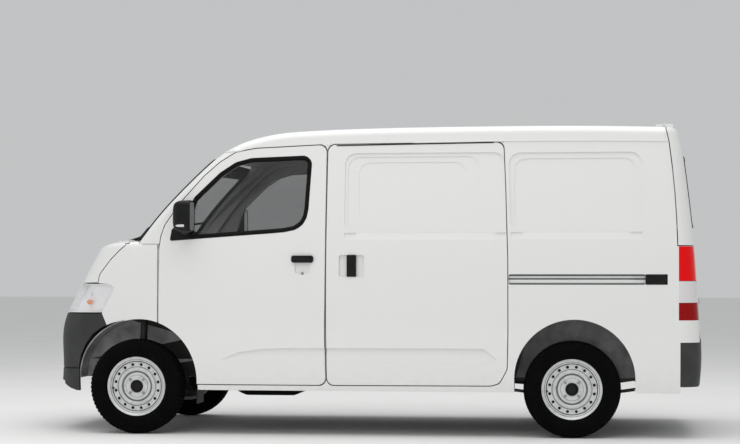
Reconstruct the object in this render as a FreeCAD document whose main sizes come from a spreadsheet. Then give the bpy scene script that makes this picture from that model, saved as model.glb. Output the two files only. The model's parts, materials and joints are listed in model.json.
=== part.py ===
import FreeCAD, Part
import Sketcher
import math
import os
from types import SimpleNamespace
from FreeCAD import Placement, Rotation, Vector

# Panel van: short bonnet, engine under the front seats, rear axle on leaf springs.
# X runs along the length with the front at low X, Y across, Z up from the ground.
# The origin lies on the ground under the middle of the body.

SIZES = {
    # Overall
    "body_length": 4045.0,
    "body_width": 1665.0,
    "body_height": 1900.0,
    "wheelbase": 2650.0,
    "front_overhang": 603.0,
    "wheel_track": 1460.0,
    # Plan shape of the body
    "nose_bow": 160.0,
    "nose_corner": 260.0,
    "tail_bow": 44.0,
    "tail_corner": 110.0,
    "toe_start": 772.0,
    "toe_radius": 3200.0,
    "screen_bow": 110.0,
    "roof_crown": 46.0,
    "bonnet_bow": 142.0,
    "bonnet_crown": 28.0,
    "rail_fillet": 55.0,
    "bonnet_fillet": 40.0,
    # Walls and gaps
    "side_wall": 80.0,
    "roof_wall": 35.0,
    "door_wall": 50.0,
    "skin_wall": 25.0,
    "bumper_wall": 30.0,
    "glass_inset": 9.0,
    "glass_wall": 5.0,
    "seat_gap": 0.3,
    "panel_gap": 6.0,
    "hinge_gap": 9.0,
    "door_flange": 22.0,
    "corner_radius": 45.0,
    "overrun": 60.0,
    # Levels
    "sill_bottom": 272.0,
    "bumper_bottom": 252.0,
    "bumper_top": 732.0,
    "rear_bumper_bottom": 310.0,
    "rear_bumper_top": 573.0,
    "bonnet_lip": 921.0,
    "headlamp_top": 914.0,
    "headlamp_inner": 430.0,
    "grille_height": 84.0,
    "grille_drop": 48.0,
    "grille_slat": 8.0,
    "tail_lamp_bottom": 704.0,
    "tail_lamp_top": 1141.0,
    "tail_lamp_front": 1857.0,
    "tailgate_bottom": 590.0,
    "tailgate_half": 640.0,
    # Arches
    "front_arch_radius": 366.0,
    "front_arch_rise": 45.0,
    "front_arch_shift": 12.0,
    "rear_arch_radius": 358.0,
    "rear_arch_rise": 59.0,
    "rear_arch_shift": 16.0,
    "arch_liner": 6.0,
    "front_house_inner": 462.0,
    "rear_house_inner": 590.0,
    # Side recesses and slide rail
    "recess_depth": 7.0,
    "recess_step": 4.0,
    "recess_radius": 70.0,
    "ledge_depth": 12.0,
    "slide_rail_height": 62.0,
    "slide_rail_level": 945.0,
    "slide_rail_inset": 12.0,
    "slide_rail_end": 1664.0,
    "rail_cap_length": 128.0,
    "rail_cap_proud": 6.0,
    # Floors
    "floor_level": 612.0,
    "cab_floor_level": 455.0,
    "floor_sheet": 20.0,
    "seat_box_front": 960.0,
    "seat_box_back": 250.0,
    "seat_box_level": 700.0,
    "cover_height": 14.0,
    # Wheels
    "tyre_radius": 290.0,
    "tyre_width": 165.0,
    "tyre_fit": 0.4,
    "rim_radius": 182.5,
    "rim_seat_radius": 168.0,
    "rim_width": 118.0,
    "rim_wall": 6.0,
    "rim_dish": 42.0,
    "rim_ring_radius": 112.0,
    "rim_hub_radius": 62.0,
    "vent_radius": 10.0,
    "vent_circle": 138.0,
    "vent_count": 16.0,
    "grille_slats": 3.0,
    "grip_sides": 8.0,
    # Knuckles and front suspension
    "kingpin_low_y": 668.0,
    "kingpin_low_z": 205.0,
    "kingpin_top_y": 560.0,
    "kingpin_top_z": 790.0,
    "strut_radius": 22.0,
    "strut_room": 6.0,
    "ball_radius": 16.0,
    "disc_radius": 96.0,
    "disc_wall": 12.0,
    "hub_radius": 55.0,
    "hub_fit": 0.3,
    "arm_wall": 18.0,
    "arm_width": 120.0,
    "beam_height": 80.0,
    "beam_length": 110.0,
    # Chassis
    "rail_inner": 380.0,
    "rail_width": 60.0,
    "rail_height": 84.0,
    # Rear axle and springs
    "axle_radius": 36.0,
    "diff_radius": 105.0,
    "drum_radius": 110.0,
    "drum_width": 60.0,
    "spring_y": 520.0,
    "spring_width": 55.0,
    "spring_leaf": 8.0,
    "spring_front_reach": 560.0,
    "spring_rear_reach": 520.0,
    "spring_sag": 60.0,
    # Driveline and tanks
    "engine_length": 560.0,
    "engine_width": 440.0,
    "engine_height": 400.0,
    "engine_bottom": 235.0,
    "engine_front": 900.0,
    "shaft_radius": 32.0,
    "exhaust_radius": 20.0,
    "silencer_radius": 75.0,
    "silencer_length": 420.0,
    "tank_length": 520.0,
    "tank_width": 300.0,
    "tank_height": 190.0,
    "spare_radius": 280.0,
    "spare_width": 150.0,
    # Cab
    "seat_width": 470.0,
    "seat_depth": 470.0,
    "cushion_height": 130.0,
    "backrest_height": 600.0,
    "backrest_wall": 110.0,
    "headrest_height": 170.0,
    "headrest_width": 260.0,
    "seat_y": 360.0,
    "steering_wheel_radius": 190.0,
    "steering_wheel_grip": 14.0,
    # Doors
    "hinge_pin_radius": 4.0,
    "hinge_pin_fit": 0.3,
    "hinge_boss_radius": 7.0,
    "hinge_height": 26.0,
    "hinge_inset": 20.0,
    "hinge_y": 782.5,
    "door_edge_depth": 33.0,
    "hinge_low_level": 775.0,
    "hinge_high_level": 1040.0,
    "cowl_width": 55.0,
    "bonnet_hinge_y": 600.0,
    "bonnet_hinge_x": 1495.0,
    "bonnet_hinge_level": 1182.0,
    "gate_hinge_y": 450.0,
    "gate_hinge_level": 1884.0,
    "gate_hinge_width": 26.0,
    "spindle_radius": 20.0,
    "spindle_reach": 748.0,
    "arm_bracket": 40.0,
    "rib_width": 12.0,
    "mirror_width": 150.0,
    "mirror_reach": 945.0,
    "mirror_depth": 90.0,
    "handle_length": 134.0,
    "handle_height": 43.0,
    "handle_proud": 14.0,
    "handle_radius": 15.0,
    "handle_x": 385.0,
    "handle_level": 1067.0,
    "lock_radius": 9.0,
    "lock_level": 980.0,
    "slide_handle_width": 56.0,
    "slide_handle_height": 132.0,
    "slide_handle_x": 87.0,
    "slide_handle_level": 1026.0,
    "slide_handle_scoop": 48.0,
    "plate_bay_width": 540.0,
    "plate_bay_height": 130.0,
    "plate_bay_level": 745.0,
    "gate_handle_width": 260.0,
    "gate_handle_height": 34.0,
    "intake_width": 760.0,
    "intake_slot": 22.0,
    "intake_pitch": 36.0,
    "intake_level": 350.0,
    "bumper_groove_level": 392.0,
    # Flaps
    "flap_width": 200.0,
    "flap_wall": 8.0,
}

# Body sections: level, half width, front and rear, as shares of height, half width, half length
BODY_LEVEL_SHARES = [
    (0.100, 0.9560, 0.9985, 0.9900),
    (0.195, 0.9790, 1.0000, 0.9970),
    (0.290, 0.9960, 1.0000, 0.9985),
    (0.385, 1.0000, 0.9840, 0.9935),
    (0.480, 0.9995, 0.9385, 0.9875),
    (0.575, 0.9945, 0.8900, 0.9815),
    (0.670, 0.9780, 0.8465, 0.9730),
    (0.765, 0.9540, 0.8160, 0.9630),
    (0.860, 0.9260, 0.7910, 0.9520),
    (0.955, 0.8950, 0.7690, 0.9360),
    (1.050, 0.8600, 0.7490, 0.9150),
]
# Middle line of windscreen and roof
CABIN_LINE_SHARES = [
    (-0.791, 0.558), (-0.742, 0.633), (-0.681, 0.717), (-0.619, 0.788), (-0.557, 0.852),
    (-0.495, 0.909), (-0.445, 0.942), (-0.386, 0.965), (-0.309, 0.982), (-0.2225, 0.9895),
    (-0.124, 0.9937), (0.099, 0.9984), (0.346, 1.0), (0.643, 0.9984), (0.939, 0.9895),
    (1.088, 0.983),
]
# Middle line of the bonnet
BONNET_LINE_SHARES = [
    (-1.028, 0.4316), (-0.964, 0.505), (-0.915, 0.563), (-0.885, 0.594), (-0.858, 0.615),
    (-0.831, 0.624), (-0.742, 0.6295), (-0.643, 0.6316), (-0.5, 0.634),
]
# Stations across the width at which those lines are drawn
STATION_SHARES = (-1.14, -0.57, 0.0, 0.57, 1.14)

# Side view outlines as shares of half length and height
DOOR_OUTLINE_SHARES = [
    (-0.6334, 0.359), (-0.6329, 0.4516), (-0.6309, 0.597), (-0.6255, 0.636), (-0.6136, 0.672),
    (-0.564, 0.7453), (-0.4935, 0.828), (-0.446, 0.872), (-0.3985, 0.9032), (-0.3387, 0.9153),
    (-0.1221, 0.9258), (-0.1229, 0.56), (-0.1253, 0.328), (-0.1221, 0.1621), (-0.64, 0.1621),
]
WINDOW_OUTLINE_SHARES = [
    (-0.562, 0.6245), (-0.265, 0.6465), (-0.2, 0.6600), (-0.1795, 0.700), (-0.1705, 0.868),
    (-0.186, 0.886), (-0.3505, 0.8795), (-0.396, 0.8665), (-0.443, 0.834), (-0.522, 0.754),
]
SLIDING_DOOR_SHARES = [
    (-0.1172, 0.1621), (-0.1187, 0.328), (-0.1186, 0.56), (-0.1167, 0.9258), (0.4064, 0.9295),
    (0.4128, 0.7826), (0.4197, 0.5584), (0.4202, 0.33), (0.4178, 0.2158), (0.395, 0.171),
    (0.3698, 0.1637),
]
ROOF_EDGE_SHARES = [
    (-0.60, 0.8947), (-0.445, 0.8947), (-0.4346, 0.9042), (-0.386, 0.9115), (-0.3387, 0.9202),
    (-0.1227, 0.9308), (0.0984, 0.9328), (0.396, 0.9345), (0.6897, 0.9340), (0.87, 0.9318),
]
TAILGATE_SEAM_SHARES = [
    (0.8846, 0.9684), (0.893, 0.9279), (0.9014, 0.8547), (0.9088, 0.7711), (0.9137, 0.6874),
    (0.9167, 0.6042),
]
WING_SEAM_SHARES = [
    (-0.7412, 0.6115), (-0.7412, 0.6063), (-0.7654, 0.5847), (-0.7906, 0.5589), (-0.8109, 0.5332),
    (-0.8272, 0.5116), (-0.8317, 0.4847),
]
HEADLAMP_SHARES = [
    (-0.8203, 0.3905), (-0.8178, 0.3979), (-0.7847, 0.4558), (-0.7797, 0.47), (-0.7906, 0.481),
]
BUMPER_SIDE_SHARES = [(-0.8208, 0.3853), (-0.8015, 0.3405)]
SLIDING_RECESS_SHARES = [(-0.065, 0.6442), (0.4187, 0.6442), (0.4109, 0.8985), (-0.065, 0.8985)]
QUARTER_RECESS_SHARES = [(0.4302, 0.6458), (0.8128, 0.6458), (0.8128, 0.8968), (0.4219, 0.8968)]
SLIDING_STEP_SHARES = [(-0.0559, 0.6537), (0.3357, 0.6537), (0.3357, 0.8863), (-0.0559, 0.8863)]
SLIDING_PANEL_SHARES = [(-0.0227, 0.6763), (0.2967, 0.6763), (0.2967, 0.8684), (-0.0227, 0.8684)]
QUARTER_PANEL_SHARES = [(0.4396, 0.6626), (0.7985, 0.6626), (0.7940, 0.8779), (0.4396, 0.8779)]
RECESS_FOOT_SHARE = 0.0225
CORNER_REACH_SHARE = 0.45
STRAIGHT_SHARE = 0.995
TYRE_WALL_SHARES = ((0.03, 0.25), (0.0, 0.55), (0.05, 0.88))
TYRE_TREAD_SHARE = 0.20
DISH_SHARES = {"vent_outer": 0.8, "vent_inner": 0.55, "ring_crown": 0.4, "ring_inner": 0.45, "hub_edge": 0.85}
VENT_LAND_SHARE = 1.1
STRUT_START_SHARE, STRUT_LENGTH_SHARE = 0.22, 0.72
STEM_SHARE = 0.8
HUB_STUB_SHARE = 0.7
LEAF_SHARES = (1.0, 0.72, 0.46)
GRILLE_RIB_SHARES = (-0.5, 0.0, 0.5)
SHAFT_LEVEL_SHARE = 0.4
BACKREST_FOOT_SHARE, BACKREST_TOP_SHARE, BACKREST_LEAN_SHARE = 1.2, 0.8, 0.3
STEERING_X_SHARE, STEERING_LEVEL_SHARE = 0.54, 2.2
STEERING_LEAN_SHARES = (-0.55, -0.83)
COLUMN_SHARE = 1.6
FLAP_DROP_SHARE = 1.4
BONNET_REACH_SHARE, BONNET_FOOT_SHARE = 1.2, 1.6
LEDGE_SHARES = [
    (-0.449, 0.236), (0.3863, 0.236), (0.3863, 0.248), (0.35, 0.28), (-0.25, 0.279),
    (-0.32, 0.2745), (-0.386, 0.2645),
]
MIRROR_SHARES = [
    (-0.5900, 0.6480), (-0.5202, 0.6468), (-0.5202, 0.7437), (-0.5271, 0.7500), (-0.5706, 0.7326),
    (-0.5914, 0.7074), (-0.5929, 0.6790),
]
MIRROR_SAIL_SHARES = [
    (-0.5963, 0.6226), (-0.5340, 0.6258), (-0.5340, 0.6420), (-0.5600, 0.6640), (-0.5885, 0.6640),
]
BUMPER_CHIN_SHARES = [
    (-0.9621, 0.1632), (-0.9582, 0.1516), (-0.9355, 0.1400), (-0.9122, 0.1332), (-0.9122, 0.10),
    (-1.2, 0.10), (-1.2, 0.1632),
]
SCREEN_SHARES = [(0.872, 0.634), (0.735, 0.884), (-0.735, 0.884), (-0.872, 0.634)]
REAR_WINDOW_SHARES = [(0.72, 0.665), (0.66, 0.885), (-0.66, 0.885), (-0.72, 0.665)]
PILLAR_SHARE = 0.67
CABIN_FRONT_SHARE = 0.791
GRILLE_HALF_SHARE = 0.40
DASH_SHARES = [
    (-0.765, 0.44), (-0.72, 0.605), (-0.66, 0.622), (-0.59, 0.595), (-0.572, 0.55),
    (-0.585, 0.49), (-0.64, 0.46),
]

doc = FreeCAD.newDocument("panel_van")
sheet = doc.addObject("Spreadsheet::Sheet", "Sizes")
for row, (alias, value) in enumerate(SIZES.items(), start=1):
    sheet.set(f"A{row}", alias)
    sheet.set(f"B{row}", str(value))
    sheet.setAlias(f"B{row}", alias)
doc.recompute()
d = SimpleNamespace(**{alias: float(sheet.get(alias)) for alias in SIZES})

HALF_LENGTH = d.body_length / 2
HALF_WIDTH = d.body_width / 2
FRONT_AXLE = d.front_overhang - HALF_LENGTH
REAR_AXLE = FRONT_AXLE + d.wheelbase
HUB_LEVEL = d.tyre_radius
WHEEL_Y = d.wheel_track / 2
GROUND = Vector(0, 0, 0)
BODY_BOTTOM = BODY_LEVEL_SHARES[0][0] * d.body_height


def side_points(shares):
    """Turn shares of half length and height into X and Z."""
    return [(x * HALF_LENGTH, z * d.body_height) for x, z in shares]


def end_points(shares):
    """Turn shares of half width and height into Y and Z."""
    return [(y * HALF_WIDTH, z * d.body_height) for y, z in shares]


def box_points(along, level, length, height):
    """Rectangle round a middle point, for a side or an end view."""
    return [(along - length / 2, level - height / 2), (along + length / 2, level - height / 2),
            (along + length / 2, level + height / 2), (along - length / 2, level + height / 2)]


def grown(points, margin):
    """Move each side of a closed outline outwards by a margin."""
    turn = sum(a[0] * b[1] - b[0] * a[1] for a, b in zip(points, points[1:] + points[:1]))
    sign = 1 if turn > 0 else -1
    lines = []
    for a, b in zip(points, points[1:] + points[:1]):
        run = (b[0] - a[0], b[1] - a[1])
        span = math.hypot(*run)
        shift = (sign * run[1] / span * margin, -sign * run[0] / span * margin)
        lines.append(((a[0] + shift[0], a[1] + shift[1]), run))
    result = []
    for (p, u), (q, v) in zip(lines[-1:] + lines[:-1], lines):
        cross = u[0] * v[1] - u[1] * v[0]
        if abs(cross) < abs(u[0] * v[0] + u[1] * v[1]) / 1e4:
            result.append(q)
            continue
        along = ((q[0] - p[0]) * v[1] - (q[1] - p[1]) * v[0]) / cross
        result.append((p[0] + along * u[0], p[1] + along * u[1]))
    return result


def rounded(points, radius, place):
    """Draw a closed outline whose corners are arcs as large as their sides allow."""
    count = len(points)
    corners = []
    for i, corner in enumerate(points):
        before, after = points[i - 1], points[(i + 1) % count]
        back = (before[0] - corner[0], before[1] - corner[1])
        ahead = (after[0] - corner[0], after[1] - corner[1])
        back_span, ahead_span = math.hypot(*back), math.hypot(*ahead)
        back = (back[0] / back_span, back[1] / back_span)
        ahead = (ahead[0] / ahead_span, ahead[1] / ahead_span)
        opening = math.acos(max(-1.0, min(1.0, back[0] * ahead[0] + back[1] * ahead[1])))
        reach = min(radius / math.tan(opening / 2), CORNER_REACH_SHARE * min(back_span, ahead_span))
        fit = reach * math.tan(opening / 2)
        middle = ((back[0] + ahead[0]), (back[1] + ahead[1]))
        middle_span = math.hypot(*middle)
        if opening > math.pi * STRAIGHT_SHARE:
            corners.append((corner, corner, corner))
            continue
        centre_reach = fit / math.sin(opening / 2)
        arc_reach = centre_reach - fit
        corners.append((
            (corner[0] + back[0] * reach, corner[1] + back[1] * reach),
            (corner[0] + middle[0] / middle_span * arc_reach,
             corner[1] + middle[1] / middle_span * arc_reach),
            (corner[0] + ahead[0] * reach, corner[1] + ahead[1] * reach),
        ))
    edges = []
    for i, (start, through, end) in enumerate(corners):
        if start != end:
            edges.append(Part.Arc(place(*start), place(*through), place(*end)).toShape())
        following = corners[(i + 1) % count][0]
        edges.append(Part.makeLine(place(*end), place(*following)))
    return Part.Wire(edges)


def side_prism(points, inner, outer=None, radius=0.0, gap=0.0):
    """Extrude a side view outline across, from outer Y to inner Y."""
    outer = -HALF_WIDTH - 2 * d.overrun if outer is None else outer
    if gap:
        points = grown(points, gap)
    if radius:
        wire = rounded(points, radius, lambda x, z: Vector(x, outer, z))
    else:
        wire = Part.makePolygon([Vector(x, outer, z) for x, z in points + points[:1]])
    return Part.Face(wire).extrude(Vector(0, inner - outer, 0))


def end_prism(points, low, high, radius, gap=0.0):
    """Extrude an end view outline along X."""
    if gap:
        points = grown(points, gap)
    wire = rounded(points, radius, lambda y, z: Vector(low, y, z))
    return Part.Face(wire).extrude(Vector(high - low, 0, 0))


def block(low, high):
    """Box between two corners."""
    span = Vector(*high) - Vector(*low)
    return Part.makeBox(span.x, span.y, span.z, Vector(*low))


def drum(radius, base, axis, length):
    """Cylinder from a base point along an axis."""
    return Part.makeCylinder(radius, length, Vector(*base), Vector(*axis))


def mirrored(shape):
    """Right hand copy of a left hand shape."""
    return shape.mirror(GROUND, Vector(0, 1, 0))


def both_sides(shape):
    """A shape with its mirror copy."""
    return shape.fuse(mirrored(shape))


def meeting(first, first_radius, second, second_radius):
    """The point, on the left, where two circles in plan cross."""
    dx, dy = second[0] - first[0], second[1] - first[1]
    span = math.hypot(dx, dy)
    along = (first_radius ** 2 - second_radius ** 2 + span ** 2) / (2 * span)
    aside = math.sqrt(max(first_radius ** 2 - along ** 2, 0))
    base = (first[0] + along * dx / span, first[1] + along * dy / span)
    options = [
        (base[0] - aside * dy / span, base[1] + aside * dx / span),
        (base[0] + aside * dy / span, base[1] - aside * dx / span),
    ]
    return min(options, key=lambda point: point[1])


def flip(point):
    """The same point of a plan on the other side."""
    return point[0], -point[1]


def plan_section(level, half, front, rear, inset):
    """One level of the body in plan: bowed nose and tail, rounded corners, toed-in flanks."""
    half, front, rear = half - inset, front + inset, rear - inset
    toe_x = -d.toe_start
    toe_radius = d.toe_radius - inset
    nose_corner, tail_corner = d.nose_corner - inset, d.tail_corner - inset
    nose_radius = (half ** 2 + d.nose_bow ** 2) / (2 * d.nose_bow)
    tail_radius = (half ** 2 + d.tail_bow ** 2) / (2 * d.tail_bow)
    nose_centre = (front + nose_radius, 0.0)
    toe_centre = (toe_x, toe_radius - half)
    corner = meeting(nose_centre, nose_radius - nose_corner, toe_centre, toe_radius - nose_corner)
    tail_x = rear - tail_radius
    tail_corner_x = tail_x + math.sqrt((tail_radius - tail_corner) ** 2 - (half - tail_corner) ** 2)
    tail_centre = (tail_corner_x, tail_corner - half)

    def toward(centre, radius, point):
        span = math.hypot(point[0] - centre[0], point[1] - centre[1])
        return (centre[0] + radius * (point[0] - centre[0]) / span,
                centre[1] + radius * (point[1] - centre[1]) / span)

    def between(centre, radius, start, end):
        return toward(centre, radius, ((start[0] + end[0]) / 2, (start[1] + end[1]) / 2))

    nose_end = toward(nose_centre, nose_radius, corner)
    toe_front = toward(toe_centre, toe_radius, corner)
    toe_end = (toe_x, -half)
    tail_start = (tail_corner_x, -half)
    tail_end = toward((tail_x, 0.0), tail_radius, tail_centre)
    left = [
        (nose_end, between(corner, nose_corner, nose_end, toe_front), toe_front),
        (toe_front, between(toe_centre, toe_radius, toe_front, toe_end), toe_end),
        (toe_end, None, tail_start),
        (tail_start, between(tail_centre, tail_corner, tail_start, tail_end), tail_end),
    ]
    right = [(flip(c), None if b is None else flip(b), flip(a)) for a, b, c in reversed(left)]
    runs = [(flip(nose_end), (front, 0.0), nose_end)] + left
    runs += [(tail_end, (rear, 0.0), flip(tail_end))] + right
    edges = []
    for start, through, end in runs:
        first, last = Vector(*start, level), Vector(*end, level)
        if through is None:
            edges.append(Part.makeLine(first, last))
        else:
            edges.append(Part.Arc(first, Vector(*through, level), last).toShape())
    return Part.Wire(edges)


def plan_form(inset):
    """Solid inside the flanks, nose and tail, moved inwards by an inset."""
    sections = [
        plan_section(z * d.body_height, w * HALF_WIDTH, -f * HALF_LENGTH, r * HALF_LENGTH, inset)
        for z, w, f, r in BODY_LEVEL_SHARES
    ]
    return Part.makeLoft(sections, True, False, False, 3)


def top_form(line_shares, bow, crown, inset):
    """Solid under a line drawn at stations across the width, moved inwards by an inset."""
    points = side_points(line_shares)
    last = len(points) - 1
    sections = []
    for share in STATION_SHARES:
        drop = share ** 2
        y = share * HALF_WIDTH
        line = []
        for i, (x, z) in enumerate(points):
            before, after = points[max(i - 1, 0)], points[min(i + 1, last)]
            run = (after[0] - before[0], after[1] - before[1])
            span = math.hypot(*run)
            line.append(Vector(x + run[1] / span * inset + bow * drop, y,
                               z - run[0] / span * inset - crown * drop))
        curve = Part.BSplineCurve()
        curve.interpolate(line)
        front, rear = line[0], line[-1]
        foot = BODY_BOTTOM - d.overrun
        front_foot, rear_foot = Vector(front.x, y, foot), Vector(rear.x, y, foot)
        sections.append(Part.Wire([
            curve.toShape(), Part.makeLine(rear, rear_foot),
            Part.makeLine(rear_foot, front_foot), Part.makeLine(front_foot, front),
        ]))
    return Part.makeLoft(sections, True, False)


def single(shape):
    """The largest solid of a shape."""
    return max(shape.Solids, key=lambda solid: solid.Volume)


def solids_of(shape):
    """All solids of a shape as one compound, or the solid itself."""
    solids = shape.Solids
    return solids[0] if len(solids) == 1 else Part.makeCompound(solids)


pieces = {}


def keep(name, shape, place=None):
    """Keep a code-built shape as a labelled object of the document."""
    feature = doc.addObject("Part::Feature", name)
    feature.Shape = solids_of(shape)
    feature.Label = name
    feature.Placement = place or Placement()
    pieces[name] = feature
    return feature


# Body forms
flank = plan_form(0.0)
flank_recess = plan_form(d.recess_depth)
flank_glass = plan_form(d.glass_inset)
flank_glass_back = plan_form(d.glass_inset + d.glass_wall)
flank_skin = plan_form(d.skin_wall)
flank_skin_seat = plan_form(d.skin_wall + d.seat_gap)
flank_bumper = plan_form(d.bumper_wall)
flank_door = plan_form(d.door_wall)
flank_door_seat = plan_form(d.door_wall + d.seat_gap)
flank_door_clear = plan_form(d.door_wall + d.panel_gap)
flank_wall = plan_form(d.side_wall)
flank_floor = plan_form(d.side_wall + d.seat_gap)


def cabin_top(inset):
    """Windscreen and roof, moved inwards by an inset."""
    return top_form(CABIN_LINE_SHARES, d.screen_bow, d.roof_crown, inset)


def bonnet_top(inset):
    """Bonnet top, moved inwards by an inset."""
    return top_form(BONNET_LINE_SHARES, d.bonnet_bow, d.bonnet_crown, inset)


cabin_raw = single(flank.common(cabin_top(0.0)))
crown_face = max(cabin_raw.Faces, key=lambda face: face.CenterOfMass.z)
rail_edges = [edge for edge in crown_face.Edges if edge.CenterOfMass.z > d.bonnet_lip + d.rail_fillet * 4]
cabin = cabin_raw.makeFillet(d.rail_fillet, rail_edges)
cabin_inner = single(flank_wall.common(cabin_top(d.roof_wall)))
shell = cabin.cut(cabin_inner)

nose_raw = single(flank.common(bonnet_top(0.0)))
nose_face = max(nose_raw.Faces, key=lambda face: face.CenterOfMass.z)
lip_edges = [edge for edge in nose_face.Edges
             if edge.CenterOfMass.x < FRONT_AXLE and edge.CenterOfMass.z > d.bonnet_lip]
nose = nose_raw.makeFillet(d.bonnet_fillet, lip_edges)
nose_inner = single(flank_skin.common(bonnet_top(d.skin_wall)))
nose_shell = nose.cut(nose_inner)

# Arches
FRONT_ARCH = (FRONT_AXLE + d.front_arch_shift, HUB_LEVEL + d.front_arch_rise)
REAR_ARCH = (REAR_AXLE + d.rear_arch_shift, HUB_LEVEL + d.rear_arch_rise)
OUTSIDE = HALF_WIDTH + 2 * d.overrun


def arch_cut(centre, radius, inner):
    """Round wheel opening on the left, open at the bottom."""
    top = drum(radius, (centre[0], -OUTSIDE, centre[1]), (0, 1, 0), OUTSIDE - inner)
    leg = block((centre[0] - radius, -OUTSIDE, -d.overrun), (centre[0] + radius, -inner, centre[1]))
    return top.fuse(leg)


front_arch = arch_cut(FRONT_ARCH, d.front_arch_radius, d.front_house_inner)
rear_arch = arch_cut(REAR_ARCH, d.rear_arch_radius, d.rear_house_inner)
front_house = arch_cut(FRONT_ARCH, d.front_arch_radius + d.arch_liner,
                       d.front_house_inner - d.arch_liner)
rear_house = arch_cut(REAR_ARCH, d.rear_arch_radius + d.arch_liner,
                      d.rear_house_inner - d.arch_liner)

KING_LOW = Vector(FRONT_AXLE, -d.kingpin_low_y, d.kingpin_low_z)
KING_TOP = Vector(FRONT_AXLE, -d.kingpin_top_y, d.kingpin_top_z)
KING_LINE = KING_TOP - KING_LOW

# Outlines
door_points = side_points(DOOR_OUTLINE_SHARES)
window_points = side_points(WINDOW_OUTLINE_SHARES)
sliding_points = side_points(SLIDING_DOOR_SHARES)
roof_edge = side_points(ROOF_EDGE_SHARES)
gate_seam = side_points(TAILGATE_SEAM_SHARES)
wing_seam = side_points(WING_SEAM_SHARES)
lamp_points = side_points(HEADLAMP_SHARES)
FAR_FRONT = -HALF_LENGTH - d.overrun
FAR_REAR = HALF_LENGTH + d.overrun
FAR_TOP = d.body_height + d.overrun
GATE_FRONT = gate_seam[0][0]

screen_points = end_points(SCREEN_SHARES)
screen_prism = end_prism(screen_points, FAR_FRONT, -HALF_LENGTH / 3, d.corner_radius)
screen_seat = end_prism(screen_points, FAR_FRONT, -HALF_LENGTH / 3, d.corner_radius, d.seat_gap)
screen_hole = end_prism(screen_points, FAR_FRONT, -HALF_LENGTH / 3, d.corner_radius, -d.door_flange)
front_glass = cabin_top(d.glass_inset).cut(cabin_top(d.glass_inset + d.glass_wall))
screen_bed = cabin_top(d.glass_inset + d.glass_wall + d.seat_gap)
windscreen = front_glass.common(screen_prism)
screen_tool = screen_seat.cut(screen_bed).fuse(screen_hole)

# Roof
roof_region = roof_edge + [(GATE_FRONT - d.hinge_gap, roof_edge[-1][1]),
                           (GATE_FRONT - d.hinge_gap, FAR_TOP), (roof_edge[0][0], FAR_TOP)]
roof_prism = side_prism(roof_region, OUTSIDE)
roof = shell.common(roof_prism).cut(screen_tool)

# Body side, left
CABIN_FRONT = -CABIN_FRONT_SHARE * HALF_LENGTH
PILLAR_Y = PILLAR_SHARE * HALF_WIDTH
gate_low = gate_seam[-1]
corner_rear = gate_low[0] + 2 * d.panel_gap
side_region = [
    (CABIN_FRONT, d.sill_bottom), (corner_rear, d.sill_bottom), (corner_rear, d.rear_bumper_top),
]
side_region += [(x - d.panel_gap, z) for x, z in reversed(gate_seam)]
roof_rear = GATE_FRONT - d.hinge_gap
side_region += [(roof_rear + d.seat_gap, gate_seam[0][1]),
                (roof_rear + d.seat_gap, roof_edge[-1][1] - d.seat_gap)]
side_region += [(x, z - d.seat_gap) for x, z in reversed(roof_edge)]
side_region += [(CABIN_FRONT, roof_edge[0][1] - d.seat_gap)]
corner_region = [
    (gate_low[0] - d.overrun, d.rear_bumper_top + d.seat_gap),
    (FAR_REAR, d.rear_bumper_top + d.seat_gap),
    (FAR_REAR, gate_low[1] - d.panel_gap),
    (gate_low[0] - d.overrun, gate_low[1] - d.panel_gap),
]
side_zone = side_prism(side_region, -PILLAR_Y)
corner_zone = side_prism(corner_region, -d.tailgate_half - d.panel_gap)
side_shell = shell.common(side_zone.fuse(corner_zone))

wing_top = wing_seam[0][1]
wing_rear = door_points[0][0] - d.hinge_gap
wing_points = [(wing_rear, wing_top)] + wing_seam
wing_points += [(x + d.panel_gap / 2, z) for x, z in reversed(lamp_points)]
wing_points += [(x + d.panel_gap / 2, z) for x, z in side_points(BUMPER_SIDE_SHARES)]
wing_points += [(wing_points[-1][0], FRONT_ARCH[1] + d.front_arch_radius / 2),
                (wing_rear, FRONT_ARCH[1] + d.front_arch_radius / 2)]
wing_prism = side_prism(wing_points, -PILLAR_Y)
wing = single(nose_shell.common(wing_prism).cut(front_arch))
wing_inside = single(flank_skin_seat.common(bonnet_top(d.skin_wall + d.seat_gap)))
wing_bed = side_prism(grown(wing_points, d.seat_gap), -PILLAR_Y).cut(wing_inside)

door_rebate = side_prism(door_points, -PILLAR_Y, radius=d.corner_radius, gap=d.panel_gap)
door_front = block((wing_rear - d.seat_gap, -OUTSIDE, FRONT_ARCH[1]),
                   (door_points[0][0], -PILLAR_Y, wing_top))
door_space = door_rebate.cut(flank_door_clear).fuse(door_front.cut(flank_skin_seat))
door_hole = side_prism(door_points, -PILLAR_Y + d.overrun, radius=d.corner_radius, gap=-d.door_flange)
sliding_rebate = side_prism(sliding_points, -PILLAR_Y, radius=d.corner_radius, gap=d.panel_gap)
sliding_hole = side_prism(sliding_points, -PILLAR_Y + d.overrun, radius=d.corner_radius,
                          gap=-d.door_flange)
lamp_box = block((d.tail_lamp_front, -OUTSIDE, d.tail_lamp_bottom),
                 (FAR_REAR, -d.tailgate_half - d.panel_gap, d.tail_lamp_top))
quarter_points = side_points(QUARTER_RECESS_SHARES)
recess_points = side_points(SLIDING_RECESS_SHARES)


def recess(points, form, margin=0.0):
    """What a shallow recess takes off the flank: the outline, outside the inner form."""
    return side_prism(points, -PILLAR_Y, radius=d.recess_radius, gap=-margin).cut(form)


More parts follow.
